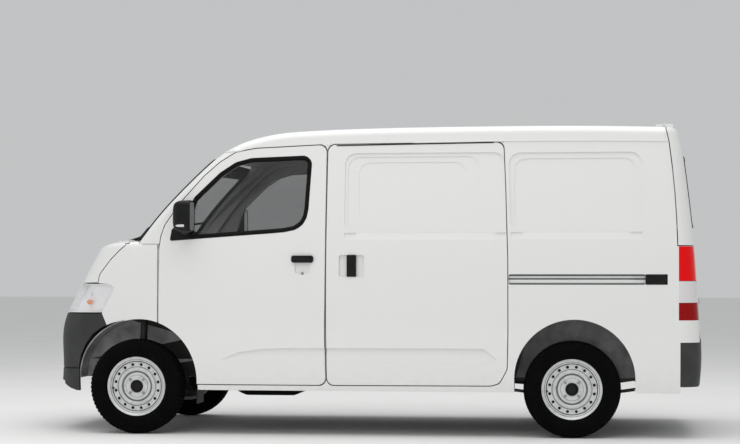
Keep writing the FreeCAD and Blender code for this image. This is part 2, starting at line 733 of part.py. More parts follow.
def half_at(level):
    """Half width of the flank at a level."""
    table = [(z * d.body_height, w * HALF_WIDTH) for z, w, _, _ in BODY_LEVEL_SHARES]
    for (low, narrow), (high, wide) in zip(table, table[1:]):
        if low <= level <= high:
            return narrow + (wide - narrow) * (level - low) / (high - low)
    raise ValueError("level outside the body")


def slope_cut(points, low_depth, high_depth, radius=0.0):
    """What a sloping face takes off the left flank inside an outline."""
    low, high = min(z for _, z in points), max(z for _, z in points)
    start, end = min(x for x, _ in points), max(x for x, _ in points)
    corners = [(-OUTSIDE, low), (low_depth - half_at(low), low),
               (high_depth - half_at(high), high), (-OUTSIDE, high)]
    wire = Part.makePolygon([Vector(start, y, z) for y, z in corners + corners[:1]])
    wedge = Part.Face(wire).extrude(Vector(end - start, 0, 0))
    return wedge.common(side_prism(points, -PILLAR_Y, radius=radius)) if radius else wedge


def recess_foot(points):
    """Sloping ledge under a recess, as wide as the recess."""
    low = points[0][1] - RECESS_FOOT_SHARE * d.body_height
    outline = [(points[0][0], low), (points[1][0], low), points[1], points[0]]
    return slope_cut(outline, 0, d.recess_depth)


flank_step = plan_form(d.recess_depth + d.recess_step)
rail_start = sliding_points[7][0] + d.panel_gap
rail_end = d.slide_rail_end
rail_low = d.slide_rail_level - d.slide_rail_height / 2
rail_high = d.slide_rail_level + d.slide_rail_height / 2
rail_points = [(rail_start, rail_low), (rail_end, rail_low), (rail_end, rail_high),
               (rail_start, rail_high)]
rail_groove = side_prism(rail_points, -PILLAR_Y, radius=d.slide_rail_inset).cut(flank_glass_back)
rail_body = side_prism(rail_points, -PILLAR_Y, radius=d.slide_rail_inset, gap=-d.seat_gap)
rail_slot_points = [(rail_start - d.overrun, d.slide_rail_level - d.slide_rail_inset),
                    (rail_end - d.slide_rail_height, d.slide_rail_level - d.slide_rail_inset),
                    (rail_end - d.slide_rail_height, d.slide_rail_level + d.slide_rail_inset),
                    (rail_start - d.overrun, d.slide_rail_level + d.slide_rail_inset)]
slide_rail = flank_recess.common(rail_body).cut(flank_glass_back)
slide_rail = slide_rail.cut(side_prism(rail_slot_points, -PILLAR_Y).cut(flank_glass))
cap_points = [(rail_end, rail_low + d.seat_gap), (rail_end + d.rail_cap_length, rail_low + d.seat_gap),
              (rail_end + d.rail_cap_length, rail_high - d.seat_gap), (rail_end, rail_high - d.seat_gap)]
cap_outer = -half_at(d.slide_rail_level) - d.rail_cap_proud
cap_inner = -half_at(d.slide_rail_level) + d.glass_inset
rail_cap = side_prism(cap_points, cap_inner, cap_outer)
rail_cap = rail_cap.makeFillet(d.slide_rail_height / 2 - d.rail_cap_proud, [
    edge for edge in rail_cap.Edges
    if edge.BoundBox.XMin > rail_end + d.overrun and edge.BoundBox.YLength > d.rail_cap_proud])
cap_bed = side_prism(grown(cap_points, d.seat_gap), cap_inner + d.seat_gap, -OUTSIDE)
slide_rail = single(slide_rail).fuse(rail_cap)

side_tools = [
    door_space, door_hole,
    sliding_rebate.cut(flank_door_seat), sliding_hole,
    wing_bed, front_house, rear_arch, screen_tool, lamp_box.cut(flank_door_seat),
    recess(quarter_points, flank_recess), recess(side_points(QUARTER_PANEL_SHARES), flank_step),
    recess_foot(quarter_points), rail_groove, cap_bed,
]
side = side_shell.cut(side_tools)
side = single(side)

# Hinges of the front door
HINGE_X = door_points[0][0] + d.hinge_inset
HINGE_Y = -d.hinge_y
hinge_levels = (d.hinge_low_level, d.hinge_high_level)
PIN_LENGTH = 3 * d.hinge_height
bored = d.hinge_pin_radius + d.hinge_pin_fit
door = cabin.common(side_prism(door_points, -PILLAR_Y, radius=d.corner_radius)).cut(flank_door)
door = single(door.cut(front_arch))
window_prism = side_prism(window_points, -PILLAR_Y, radius=d.corner_radius)
window_seat = side_prism(window_points, -PILLAR_Y, radius=d.corner_radius, gap=d.seat_gap)
window_hole = side_prism(window_points, -PILLAR_Y, radius=d.corner_radius, gap=-d.slide_rail_inset)
glass_bed = plan_form(d.glass_inset + d.glass_wall + d.seat_gap)
door = door.cut(window_seat.cut(glass_bed)).cut(window_hole)
door_glass = single(flank_glass.common(window_prism).cut(flank_glass_back))
for level in hinge_levels:
    notch_half = d.hinge_height / 2 + d.panel_gap
    notch = block((HINGE_X - 2 * d.hinge_inset, HINGE_Y - d.hinge_boss_radius, level - notch_half),
                  (HINGE_X + d.hinge_boss_radius + d.panel_gap / 2, -PILLAR_Y, level + notch_half))
    bore = drum(bored, (HINGE_X, HINGE_Y, level - PIN_LENGTH / 2 - d.seat_gap), (0, 0, 1),
                PIN_LENGTH + 2 * d.seat_gap)
    door = door.cut([notch, bore])
    pin = drum(d.hinge_pin_radius, (HINGE_X, HINGE_Y, level - PIN_LENGTH / 2), (0, 0, 1), PIN_LENGTH)
    boss = drum(d.hinge_boss_radius - d.hinge_pin_fit, (HINGE_X, HINGE_Y, level - d.hinge_height / 2),
                (0, 0, 1), d.hinge_height)
    arm = block((HINGE_X - d.hinge_boss_radius, HINGE_Y, level - d.hinge_height / 2),
                (HINGE_X + d.hinge_boss_radius / 2, HINGE_Y + d.side_wall - d.hinge_inset,
                 level + d.hinge_height / 2))
    side = side.fuse([pin, boss, arm])
side = single(side)
# The door's front edge is shallow enough to turn past the pillar
door = single(door.cut(block((door_points[0][0] - d.overrun, HINGE_Y + d.door_edge_depth, 0),
                             (HINGE_X + d.hinge_boss_radius, -PILLAR_Y, FAR_TOP))))
ledge_tool = slope_cut(side_points(LEDGE_SHARES), 0, d.ledge_depth).common(
    side_prism(side_points(LEDGE_SHARES), -PILLAR_Y))
door = door.cut(ledge_tool)


grip_outer = -half_at(d.handle_level) - d.handle_proud
grip_inner = -half_at(d.handle_level) + d.skin_wall
scoop = box_points(-d.handle_x, d.handle_level - d.handle_height, d.handle_length - d.handle_height,
                 2 * d.handle_height)
grip = side_prism(box_points(-d.handle_x, d.handle_level, d.handle_length, d.handle_height), grip_inner,
                  grip_outer, d.handle_radius)
lock = drum(d.lock_radius, (-d.handle_x, -half_at(d.lock_level) - d.hinge_pin_radius / 2, d.lock_level),
            (0, 1, 0), d.skin_wall)
door = door.cut(side_prism(scoop, -PILLAR_Y, radius=d.handle_radius).cut(flank_glass))
door = single(door.fuse([grip, lock]))

# Sliding door, left
sliding = cabin.common(side_prism(sliding_points, -PILLAR_Y, radius=d.corner_radius)).cut(flank_door)
scoop = box_points(-d.slide_handle_x, d.slide_handle_level, d.slide_handle_width + 2 * d.slide_handle_scoop,
                 d.slide_handle_height)
sliding = sliding.cut([
    recess(recess_points, flank_recess), recess(side_points(SLIDING_STEP_SHARES), flank_step),
    recess(side_points(SLIDING_PANEL_SHARES), flank_glass_back), recess_foot(recess_points), ledge_tool,
    side_prism(scoop, -PILLAR_Y, radius=d.handle_radius).cut(flank_glass_back),
])
grip_outer = -half_at(d.slide_handle_level) - d.handle_proud / 2
grip_inner = -half_at(d.slide_handle_level) + d.skin_wall
sliding = sliding.fuse(side_prism(
    box_points(-d.slide_handle_x, d.slide_handle_level, d.slide_handle_width, d.slide_handle_height),
    grip_inner, grip_outer, d.handle_radius / 2))
sliding = single(sliding)

# Mirror on the door
mirror_points = side_points(MIRROR_SHARES)
mirror_head = side_prism(mirror_points, -d.mirror_reach + d.mirror_width, -d.mirror_reach,
                         d.corner_radius / 2)
mirror_face = [edge for edge in mirror_head.Edges if edge.BoundBox.YMax < -d.mirror_reach + d.seat_gap]
mirror_head = mirror_head.makeFillet(d.corner_radius / 3, mirror_face)
arm_x = mirror_points[0][0] + d.mirror_depth / 2
mirror_arm = block((arm_x - d.mirror_depth / 4, -d.mirror_reach + d.mirror_width / 2,
                    mirror_points[0][1] - d.overrun / 2),
                   (arm_x + d.mirror_depth / 4, -PILLAR_Y, mirror_points[0][1] + d.overrun / 2))
mirror_sail = side_prism(side_points(MIRROR_SAIL_SHARES), -PILLAR_Y,
                         -half_at(mirror_points[0][1]) + d.recess_step, d.handle_radius)
mirror = mirror_head.fuse([mirror_arm, mirror_sail]).cut(plan_form(-d.seat_gap))
mirror = single(mirror)

# Tailgate
gate_form = cabin.cut(flank_door.common(cabin_top(d.roof_wall)))
gate_region = gate_seam + [(FAR_REAR, gate_low[1]), (FAR_REAR, FAR_TOP), (GATE_FRONT, FAR_TOP)]
gate_upper = side_prism(gate_region, OUTSIDE)
gate_lower = block((gate_low[0] - 2 * d.overrun, -d.tailgate_half, d.tailgate_bottom),
                   (FAR_REAR, d.tailgate_half, gate_low[1] + d.panel_gap))
gate = gate_form.common(gate_upper.fuse(gate_lower))
rear_points = end_points(REAR_WINDOW_SHARES)
rear_start = GATE_FRONT - d.overrun
rear_prism = end_prism(rear_points, rear_start, FAR_REAR, d.corner_radius)
rear_seat = end_prism(rear_points, rear_start, FAR_REAR, d.corner_radius, d.seat_gap)
rear_hole = end_prism(rear_points, rear_start, FAR_REAR, d.corner_radius, -d.slide_rail_inset)
plate_outline = box_points(0, d.plate_bay_level, d.plate_bay_width, d.plate_bay_height)
plate_bay = end_prism(plate_outline, rear_start, FAR_REAR, d.handle_radius).cut(flank_glass_back)
gate = gate.cut([rear_seat.cut(glass_bed), rear_hole, plate_bay])
grip_outline = box_points(0, d.plate_bay_level + d.plate_bay_height / 2, d.gate_handle_width,
                          d.gate_handle_height)
gate_grip = end_prism(grip_outline, HALF_LENGTH - d.side_wall, HALF_LENGTH, d.handle_radius / 2)
gate = single(gate.fuse(gate_grip.common(plan_form(-d.handle_proud / 2)).cut(flank_door)))
rear_glass = single(flank_glass.common(rear_prism).cut(flank_glass_back))
GATE_HINGE_X = GATE_FRONT - d.hinge_gap / 2
knuckle_radius = d.hinge_boss_radius
for sign in (-1, 1):
    middle = sign * d.gate_hinge_y
    barrel = drum(knuckle_radius, (GATE_HINGE_X, middle - d.gate_hinge_width / 2, d.gate_hinge_level),
                  (0, 1, 0), d.gate_hinge_width)
    foot = block((GATE_HINGE_X - 2 * d.gate_hinge_width, middle - d.gate_hinge_width / 2,
                  d.gate_hinge_level - d.overrun / 2),
                 (GATE_HINGE_X, middle + d.gate_hinge_width / 2, d.gate_hinge_level + knuckle_radius / 2))
    bore = drum(bored, (GATE_HINGE_X, middle - d.overrun, d.gate_hinge_level), (0, 1, 0), 2 * d.overrun)
    roof = roof.fuse(foot.cut(cabin_inner)).fuse(barrel)
    lug_half = 3 * d.gate_hinge_width / 2
    space = block((GATE_HINGE_X - d.hinge_gap / 2, middle - d.gate_hinge_width / 2 - d.seat_gap,
                   d.gate_hinge_level - d.overrun),
                  (GATE_HINGE_X + d.overrun / 3, middle + d.gate_hinge_width / 2 + d.seat_gap,
                   d.gate_hinge_level + d.overrun))
    lug_barrel = drum(knuckle_radius, (GATE_HINGE_X, middle - lug_half, d.gate_hinge_level),
                      (0, 1, 0), 2 * lug_half)
    lug_foot = block((GATE_HINGE_X, middle - lug_half, d.gate_hinge_level - d.overrun / 2),
                     (GATE_HINGE_X + 2 * d.gate_hinge_width, middle + lug_half,
                      d.gate_hinge_level + knuckle_radius / 2))
    slot_half = d.gate_hinge_width / 2 + d.seat_gap + d.seat_gap / 2
    slot = block((GATE_HINGE_X - d.overrun, middle - slot_half, d.gate_hinge_level - d.overrun),
                 (GATE_HINGE_X + knuckle_radius + d.panel_gap, middle + slot_half,
                  d.gate_hinge_level + d.overrun))
    lug = lug_barrel.fuse(lug_foot).cut(cabin_inner).cut(slot)
    pin = drum(d.hinge_pin_radius, (GATE_HINGE_X, middle - lug_half, d.gate_hinge_level), (0, 1, 0),
               2 * lug_half)
    roof = roof.cut(bore)
    gate = gate.fuse(lug).fuse(pin)
roof = single(roof)
gate = single(gate)

# Tail lamps and rear bumper
tail_lamp = single(cabin.common(lamp_box).cut(flank_door))
rear_bumper = cabin.common(block((corner_rear + d.seat_gap, -OUTSIDE, d.rear_bumper_bottom),
                                 (FAR_REAR, OUTSIDE, d.rear_bumper_top))).cut(flank_bumper)
rear_bumper = single(rear_bumper)

# Bonnet and cowl
bonnet_rear = -d.bonnet_hinge_x + 2 * d.overrun
bonnet_region = [(bonnet_rear, wing_top)] + wing_seam
bonnet_region += [(FAR_FRONT, d.bonnet_lip), (FAR_FRONT, FAR_TOP), (bonnet_rear, FAR_TOP)]
bonnet_region = grown(bonnet_region, -d.panel_gap)
bonnet = nose_shell.common(side_prism(bonnet_region, OUTSIDE))
bonnet = single(bonnet.cut(cabin_top(-d.cowl_width)))
cowl_zone = block((-d.bonnet_hinge_x - 3 * d.overrun, -HALF_WIDTH, wing_top + d.seat_gap),
                  (-d.bonnet_hinge_x + 3 * d.overrun, HALF_WIDTH, FAR_TOP))
cowl = nose_shell.common(cowl_zone).common(cabin_top(-d.cowl_width + d.panel_gap))
cowl = single(cowl.cut(cabin_top(-d.seat_gap)))
for sign in (-1, 1):
    middle = sign * d.bonnet_hinge_y
    half = d.gate_hinge_width / 2
    centre = (-d.bonnet_hinge_x, d.bonnet_hinge_level)
    reach = BONNET_REACH_SHARE * d.overrun
    clear = block((centre[0] - reach, middle - 3 * half - d.panel_gap, centre[1] - d.overrun),
                  (centre[0] + 2 * knuckle_radius, middle + 3 * half + d.panel_gap, FAR_TOP))
    cowl = cowl.cut(clear)
    barrel = drum(knuckle_radius, (centre[0], middle - half, centre[1]), (0, 1, 0), 2 * half)
    foot = block((centre[0], middle - half, centre[1] - knuckle_radius),
                 (centre[0] + 4 * knuckle_radius, middle + half, centre[1]))
    cowl = cowl.fuse(barrel.fuse(foot).cut(cabin_top(-d.seat_gap)))
    cowl = cowl.cut(drum(bored, (centre[0], middle - d.overrun, centre[1]), (0, 1, 0), 2 * d.overrun))
    lug = drum(knuckle_radius, (centre[0], middle - 3 * half, centre[1]), (0, 1, 0), 6 * half)
    lug_foot = block((centre[0] - reach, middle - 3 * half, centre[1] - BONNET_FOOT_SHARE * knuckle_radius),
                     (centre[0], middle + 3 * half, centre[1]))
    slot_half = half + d.seat_gap + d.seat_gap / 2
    slot = block((centre[0] - knuckle_radius - d.panel_gap, middle - slot_half, centre[1] - d.overrun),
                 (centre[0] + d.overrun, middle + slot_half, FAR_TOP))
    lug = lug.fuse(lug_foot).cut(slot)
    pin = drum(d.hinge_pin_radius, (centre[0], middle - 3 * half, centre[1]), (0, 1, 0), 6 * half)
    bonnet = bonnet.fuse(lug).fuse(pin)

# Bulkhead between the pillars
bulkhead_zone = block((FAR_FRONT, -PILLAR_Y + d.seat_gap, d.cab_floor_level - d.floor_sheet),
                      (CABIN_FRONT + 4 * d.overrun, PILLAR_Y - d.seat_gap, d.bonnet_hinge_level + d.overrun))
bulkhead = single(shell.common(bulkhead_zone).cut([screen_tool, front_house, mirrored(front_house)]))

# Nose panel, lamps, grille, bumper
lamp_zone = [(FAR_FRONT, d.bumper_top + 2 * d.seat_gap + d.panel_gap)] + lamp_points
lamp_zone += [(lamp_points[-1][0] - d.panel_gap, d.headlamp_top), (FAR_FRONT, d.headlamp_top)]
headlamp = single(nose.common(side_prism(lamp_zone, -d.headlamp_inner)).cut(flank_door))
nose_panel = nose_shell.common(block(
    (FAR_FRONT, -d.headlamp_inner + d.seat_gap, d.bumper_top + d.seat_gap),
    (lamp_points[-1][0], d.headlamp_inner - d.seat_gap, d.bonnet_lip)))
grille_half = GRILLE_HALF_SHARE * HALF_WIDTH
grille_high = d.bonnet_lip - d.grille_drop
grille_low = grille_high - d.grille_height
grille_frame = end_prism([(-grille_half, grille_low), (grille_half, grille_low),
                          (grille_half, grille_high), (-grille_half, grille_high)],
                         FAR_FRONT, lamp_points[0][0], d.rib_width)
nose_panel = nose_panel.cut(grille_frame)
arm_zone = block((-HALF_LENGTH, -d.headlamp_inner + d.seat_gap, d.bumper_top + d.seat_gap),
                 (CABIN_FRONT - d.seat_gap, -d.headlamp_inner + d.arm_bracket,
                  d.bumper_top + d.arm_bracket))
nose_panel = nose_panel.fuse(both_sides(arm_zone).common(flank_recess))
nose_panel = single(nose_panel)
grille_hollow = end_prism([(-grille_half + d.rib_width, grille_low + d.rib_width),
                           (grille_half - d.rib_width, grille_low + d.rib_width),
                           (grille_half - d.rib_width, grille_high - d.rib_width),
                           (-grille_half + d.rib_width, grille_high - d.rib_width)],
                          FAR_FRONT, lamp_points[0][0], d.seat_gap)
grille_body = end_prism([(-grille_half, grille_low), (grille_half, grille_low),
                         (grille_half, grille_high), (-grille_half, grille_high)],
                        FAR_FRONT, lamp_points[0][0], d.rib_width, -d.seat_gap).cut(grille_hollow)
slats = round(d.grille_slats)
slat_pitch = (d.grille_height - 2 * d.rib_width) / (slats + 1)
for index in range(1, slats + 1):
    level = grille_low + d.rib_width + index * slat_pitch
    slat = block((FAR_FRONT, -grille_half + d.rib_width / 2, level - d.grille_slat / 4),
                 (lamp_points[0][0], grille_half - d.rib_width / 2, level + d.grille_slat / 4))
    grille_body = grille_body.fuse(slat)
for share in GRILLE_RIB_SHARES:
    middle = share * grille_half
    rib = block((FAR_FRONT, middle - d.grille_slat / 2, grille_low + d.rib_width / 2),
                (lamp_points[0][0], middle + d.grille_slat / 2, grille_high - d.rib_width / 2))
    grille_body = grille_body.fuse(rib)
grille = single(flank_recess.common(grille_body).cut(flank_skin))
bumper_side = [(x - d.panel_gap / 2, z) for x, z in reversed(side_points(BUMPER_SIDE_SHARES))]
bumper_points = [(FAR_FRONT, d.bumper_bottom), (FRONT_ARCH[0], d.bumper_bottom),
                 (FRONT_ARCH[0], FRONT_ARCH[1]), (bumper_side[0][0], FRONT_ARCH[1])]
bumper_points += bumper_side
bumper_points += [(bumper_points[-1][0], d.bumper_top), (FAR_FRONT, d.bumper_top)]
front_bumper = nose.common(side_prism(bumper_points, OUTSIDE)).cut(flank_bumper)
slots = []
for level in (d.intake_level - d.intake_pitch, d.intake_level, d.intake_level + d.intake_pitch):
    slots.append(end_prism(box_points(0, level, d.intake_width, d.intake_slot),
                           FAR_FRONT, CABIN_FRONT - 2 * d.overrun, d.intake_slot / 3))
groove = block((FAR_FRONT, -OUTSIDE, d.bumper_groove_level - d.recess_step),
               (FRONT_ARCH[0], OUTSIDE, d.bumper_groove_level + d.recess_step)).cut(flank_recess)
chin = side_prism(side_points(BUMPER_CHIN_SHARES), OUTSIDE)
front_bumper = single(front_bumper.cut([front_arch, mirrored(front_arch), groove, chin] + slots))

# Floor, seat box and wheel houses
floor_rear = gate_low[0] + d.overrun
box_front, box_back = -d.seat_box_front, -d.seat_box_back
sheet_wall = d.floor_sheet
floor = block((box_back + d.seat_gap, -HALF_WIDTH, d.floor_level - sheet_wall),
              (floor_rear, HALF_WIDTH, d.floor_level))
cab_floor = block((box_front, -HALF_WIDTH, d.seat_box_level - sheet_wall),
                  (box_back, HALF_WIDTH, d.seat_box_level))
cab_floor = cab_floor.fuse([
    block((box_front, -HALF_WIDTH, d.cab_floor_level - sheet_wall),
          (box_front + sheet_wall, HALF_WIDTH, d.seat_box_level)),
    block((box_back - sheet_wall, -HALF_WIDTH, d.floor_level - sheet_wall),
          (box_back, HALF_WIDTH, d.seat_box_level)),
    block((CABIN_FRONT + d.roof_wall, -HALF_WIDTH, d.cab_floor_level - sheet_wall),
          (box_front + sheet_wall, HALF_WIDTH, d.cab_floor_level)),
])
cover_half = d.seat_y - d.seat_width / 2 - d.overrun / 4
cover = block((box_front + d.overrun / 4, -cover_half, d.seat_box_level - sheet_wall),
              (box_back - d.overrun / 4 - sheet_wall, cover_half, d.seat_box_level + d.cover_height))
cover_corners = [edge for edge in cover.Edges if edge.BoundBox.ZLength > d.cover_height]
cab_floor = cab_floor.fuse(cover.makeFillet(d.corner_radius / 2, cover_corners))
flank_bumper_seat = plan_form(d.bumper_wall + d.seat_gap)
houses = [front_house, mirrored(front_house), rear_house, mirrored(rear_house)]
floor = single(floor.cut(houses).common(flank_floor).cut(bulkhead))
cab_floor = single(cab_floor.cut(houses).common(flank_floor).cut(bulkhead))
house_low = block((-HALF_LENGTH, -HALF_WIDTH, d.sill_bottom + d.overrun), (HALF_LENGTH, 0, d.body_height))
front_liner = front_house.cut(front_arch).common(house_low).common(flank_bumper_seat)
rear_liner = single(rear_house.cut(rear_arch).common(house_low).common(flank_floor))
strut_room = Part.makeCylinder(d.strut_radius + d.strut_room, KING_LINE.Length, KING_LOW, KING_LINE)
front_liner = front_liner.cut([side, door_space, strut_room])

# Dashboard
dash = side_prism(side_points(DASH_SHARES), OUTSIDE, radius=d.corner_radius / 2)
dash_front = block((FAR_FRONT, -HALF_WIDTH, 0), (CABIN_FRONT + d.roof_wall, HALF_WIDTH, d.body_height))
dash_ends = both_sides(block((FAR_FRONT, -HALF_WIDTH, 0),
                             (wing_rear + d.panel_gap, -PILLAR_Y + d.seat_gap, d.body_height)))
dash = dash.common(flank_floor).cut([dash_front, dash_ends])
dash = single(dash.common(cabin_top(d.roof_wall + d.seat_gap)).cut(bulkhead))

keep("body_side_left", side)
keep("body_side_right", mirrored(side))
keep("roof_panel", roof)
keep("front_wing_left", wing)
keep("front_wing_right", mirrored(wing))
front_liner = single(front_liner)
keep("wheel_houses_front", Part.makeCompound([front_liner, mirrored(front_liner)]))
keep("wheel_houses_rear", Part.makeCompound([rear_liner, mirrored(rear_liner)]))
keep("front_door_left", door)
keep("front_door_right", mirrored(door))
keep("front_door_glass_left", door_glass)
keep("front_door_glass_right", mirrored(door_glass))
keep("door_mirror_left", mirror)
keep("door_mirror_right", mirrored(mirror))
keep("sliding_door_left", sliding)
keep("sliding_door_right", mirrored(sliding))
keep("slide_rails", Part.makeCompound([single(slide_rail), mirrored(single(slide_rail))]))
keep("tailgate", gate)
keep("tailgate_glass", rear_glass)
keep("tail_lamps", Part.makeCompound([tail_lamp, mirrored(tail_lamp)]))
keep("rear_bumper", rear_bumper)
keep("front_bumper", front_bumper)
keep("bonnet", bonnet)
keep("cowl", cowl)
keep("bulkhead", bulkhead)
keep("windscreen_glass", single(windscreen))
keep("headlamps", Part.makeCompound([headlamp, mirrored(headlamp)]))
keep("nose_panel", nose_panel)
keep("grille", grille)
keep("floor_pan", floor)
keep("cab_floor", cab_floor)
keep("dashboard", dash)


def bound(kind, name, base, turn=None, **links):
    """Add a primitive whose sizes and place follow the sheet."""
    thing = doc.addObject(kind, name)
    if turn:
        thing.Placement = Placement(GROUND, Rotation(Vector(*turn[0]), turn[1]))
    for prop, rule in links.items():
        thing.setExpression(prop, rule)
    for letter, rule in zip("xyz", base):
        thing.setExpression(f"Placement.Base.{letter}", rule)
    return thing


def joined(name, parts):
    """Fuse several objects into one labelled piece."""
    thing = doc.addObject("Part::MultiFuse", name)
    thing.Shapes = parts
    pieces[name] = thing
    return thing


def profile(body, name, role, corners):
    """Closed sketch on one of the body's own planes, each corner tied to the sheet."""
    sketch = body.newObject("Sketcher::SketchObject", name)
    plane = [item for item in body.Origin.OriginFeatures if item.Role == role][0]
    sketch.AttachmentSupport = [(plane, "")]
    sketch.MapMode = "FlatFace"
    doc.recompute()
    places = [(float(value_of(u)), float(value_of(v))) for u, v in corners]
    count = len(corners)
    for i, (u, v) in enumerate(places):
        after = places[(i + 1) % count]
        sketch.addGeometry(Part.LineSegment(Vector(u, v, 0), Vector(*after, 0)))
    for i in range(count):
        sketch.addConstraint(Sketcher.Constraint("Coincident", i, 2, (i + 1) % count, 1))
    for i, (u, v) in enumerate(places):
        for kind, value, rule in (("DistanceX", u, corners[i][0]), ("DistanceY", v, corners[i][1])):
            index = sketch.addConstraint(Sketcher.Constraint(kind, -1, 1, i, 1, value))
            sketch.setExpression(f"Constraints[{index}]", rule)
    return sketch


def value_of(rule):
    """Number that a sheet rule gives now."""
    probe.setExpression("Length", rule)
    probe.recompute()
    return probe.Length.Value if hasattr(probe.Length, "Value") else probe.Length


probe = doc.addObject("Part::Line", "probe")
probe.addProperty("App::PropertyDistance", "Length")


def turned(name, role, corners, axis):
    """Body of revolution about one of its own sketch axes."""
    body = doc.addObject("PartDesign::Body", name)
    sketch = profile(body, name + "_profile", role, corners)
    turn = body.newObject("PartDesign::Revolution", name + "_turn")
    turn.Profile = sketch
    turn.ReferenceAxis = (sketch, [axis])
    turn.Angle = 360
    sketch.Visibility = False
    doc.recompute()
    return body


# Wheels: both halves of the profile run from the inner edge, at zero, to the outer edge
BEAD = "(Sizes.tyre_width - Sizes.rim_width) / 2 + Sizes.rim_wall + Sizes.tyre_fit"
WALL_RISE = "(Sizes.tyre_radius - Sizes.rim_radius)"
TYRE_HALF = [
    (BEAD, "Sizes.rim_seat_radius + Sizes.tyre_fit"),
    (BEAD, "Sizes.rim_radius + Sizes.tyre_fit * 4"),
]
TYRE_HALF += [(f"Sizes.tyre_width * {across}", f"Sizes.rim_radius + {WALL_RISE} * {rise}")
              for across, rise in TYRE_WALL_SHARES]
TYRE_HALF += [(f"Sizes.tyre_width * {TYRE_TREAD_SHARE}", "Sizes.tyre_radius")]
TYRE_PROFILE = TYRE_HALF + [(f"Sizes.tyre_width - ({u})", v) for u, v in reversed(TYRE_HALF)]
BORE = "Sizes.spindle_radius + Sizes.hub_fit"
DISH = {name: f"Sizes.rim_width - Sizes.rim_dish * {share}" for name, share in DISH_SHARES.items()}
DISH_FLOOR = "Sizes.rim_width - Sizes.rim_dish"
VENT_OUTER = f"Sizes.vent_circle + Sizes.vent_radius * {VENT_LAND_SHARE}"
VENT_INNER = f"Sizes.vent_circle - Sizes.vent_radius * {VENT_LAND_SHARE}"
RIM_PROFILE = [
    ("0 * Sizes.rim_width", "Sizes.rim_radius"),
    ("Sizes.rim_wall", "Sizes.rim_radius"),
    ("Sizes.rim_wall", "Sizes.rim_seat_radius"),
    ("Sizes.rim_width - Sizes.rim_wall", "Sizes.rim_seat_radius"),
    ("Sizes.rim_width - Sizes.rim_wall", "Sizes.rim_radius"),
    ("Sizes.rim_width", "Sizes.rim_radius"),
    ("Sizes.rim_width - Sizes.rim_wall / 3", "Sizes.rim_seat_radius"),
    ("Sizes.rim_width - Sizes.rim_wall * 2", "Sizes.rim_seat_radius - Sizes.rim_wall"),
    (DISH_FLOOR, "Sizes.rim_seat_radius - Sizes.rim_wall * 2"),
    (DISH["vent_outer"], VENT_OUTER),
    (DISH["vent_inner"], VENT_INNER),
    (DISH["ring_crown"], "Sizes.rim_ring_radius"),
    (DISH["ring_inner"], "Sizes.rim_ring_radius - Sizes.rim_wall * 3"),
    (DISH["hub_edge"], "Sizes.rim_hub_radius + Sizes.rim_wall"),
    (DISH_FLOOR, "Sizes.rim_hub_radius"),
    (DISH_FLOOR, BORE),
    (DISH_FLOOR + " - Sizes.rim_wall * 2", BORE),
    (DISH_FLOOR + " - Sizes.rim_wall * 2", "Sizes.rim_hub_radius + Sizes.rim_wall * 2"),
    (DISH["vent_inner"] + " - Sizes.rim_wall", "Sizes.rim_ring_radius - Sizes.rim_wall * 2"),
    (DISH["vent_inner"] + " - Sizes.rim_wall * 2", "Sizes.rim_ring_radius"),
    (DISH_FLOOR + " - Sizes.rim_wall", VENT_OUTER),
    (DISH_FLOOR + " - Sizes.rim_wall * 3 / 2", "Sizes.rim_seat_radius - Sizes.rim_wall * 3 / 2"),
    ("Sizes.rim_wall * 2", "Sizes.rim_seat_radius - Sizes.rim_wall"),
    ("Sizes.rim_wall / 3", "Sizes.rim_seat_radius"),
]
WHEELS = {
    "front_left": ("Sizes.front_overhang - Sizes.body_length / 2", -1),
    "front_right": ("Sizes.front_overhang - Sizes.body_length / 2", 1),
    "rear_left": ("Sizes.front_overhang - Sizes.body_length / 2 + Sizes.wheelbase", -1),
    "rear_right": ("Sizes.front_overhang - Sizes.body_length / 2 + Sizes.wheelbase", 1),
}


def place_wheel(body, along, sign, width):
    """Put a wheel piece on its axle with its outer edge outwards."""
    if sign < 0:
        body.Placement = Placement(GROUND, Rotation(Vector(0, 0, 1), 180))
    body.setExpression("Placement.Base.x", along)
    body.setExpression("Placement.Base.y", f"{sign} * (Sizes.wheel_track / 2 - {width} / 2)")
    body.setExpression("Placement.Base.z", "Sizes.tyre_radius")


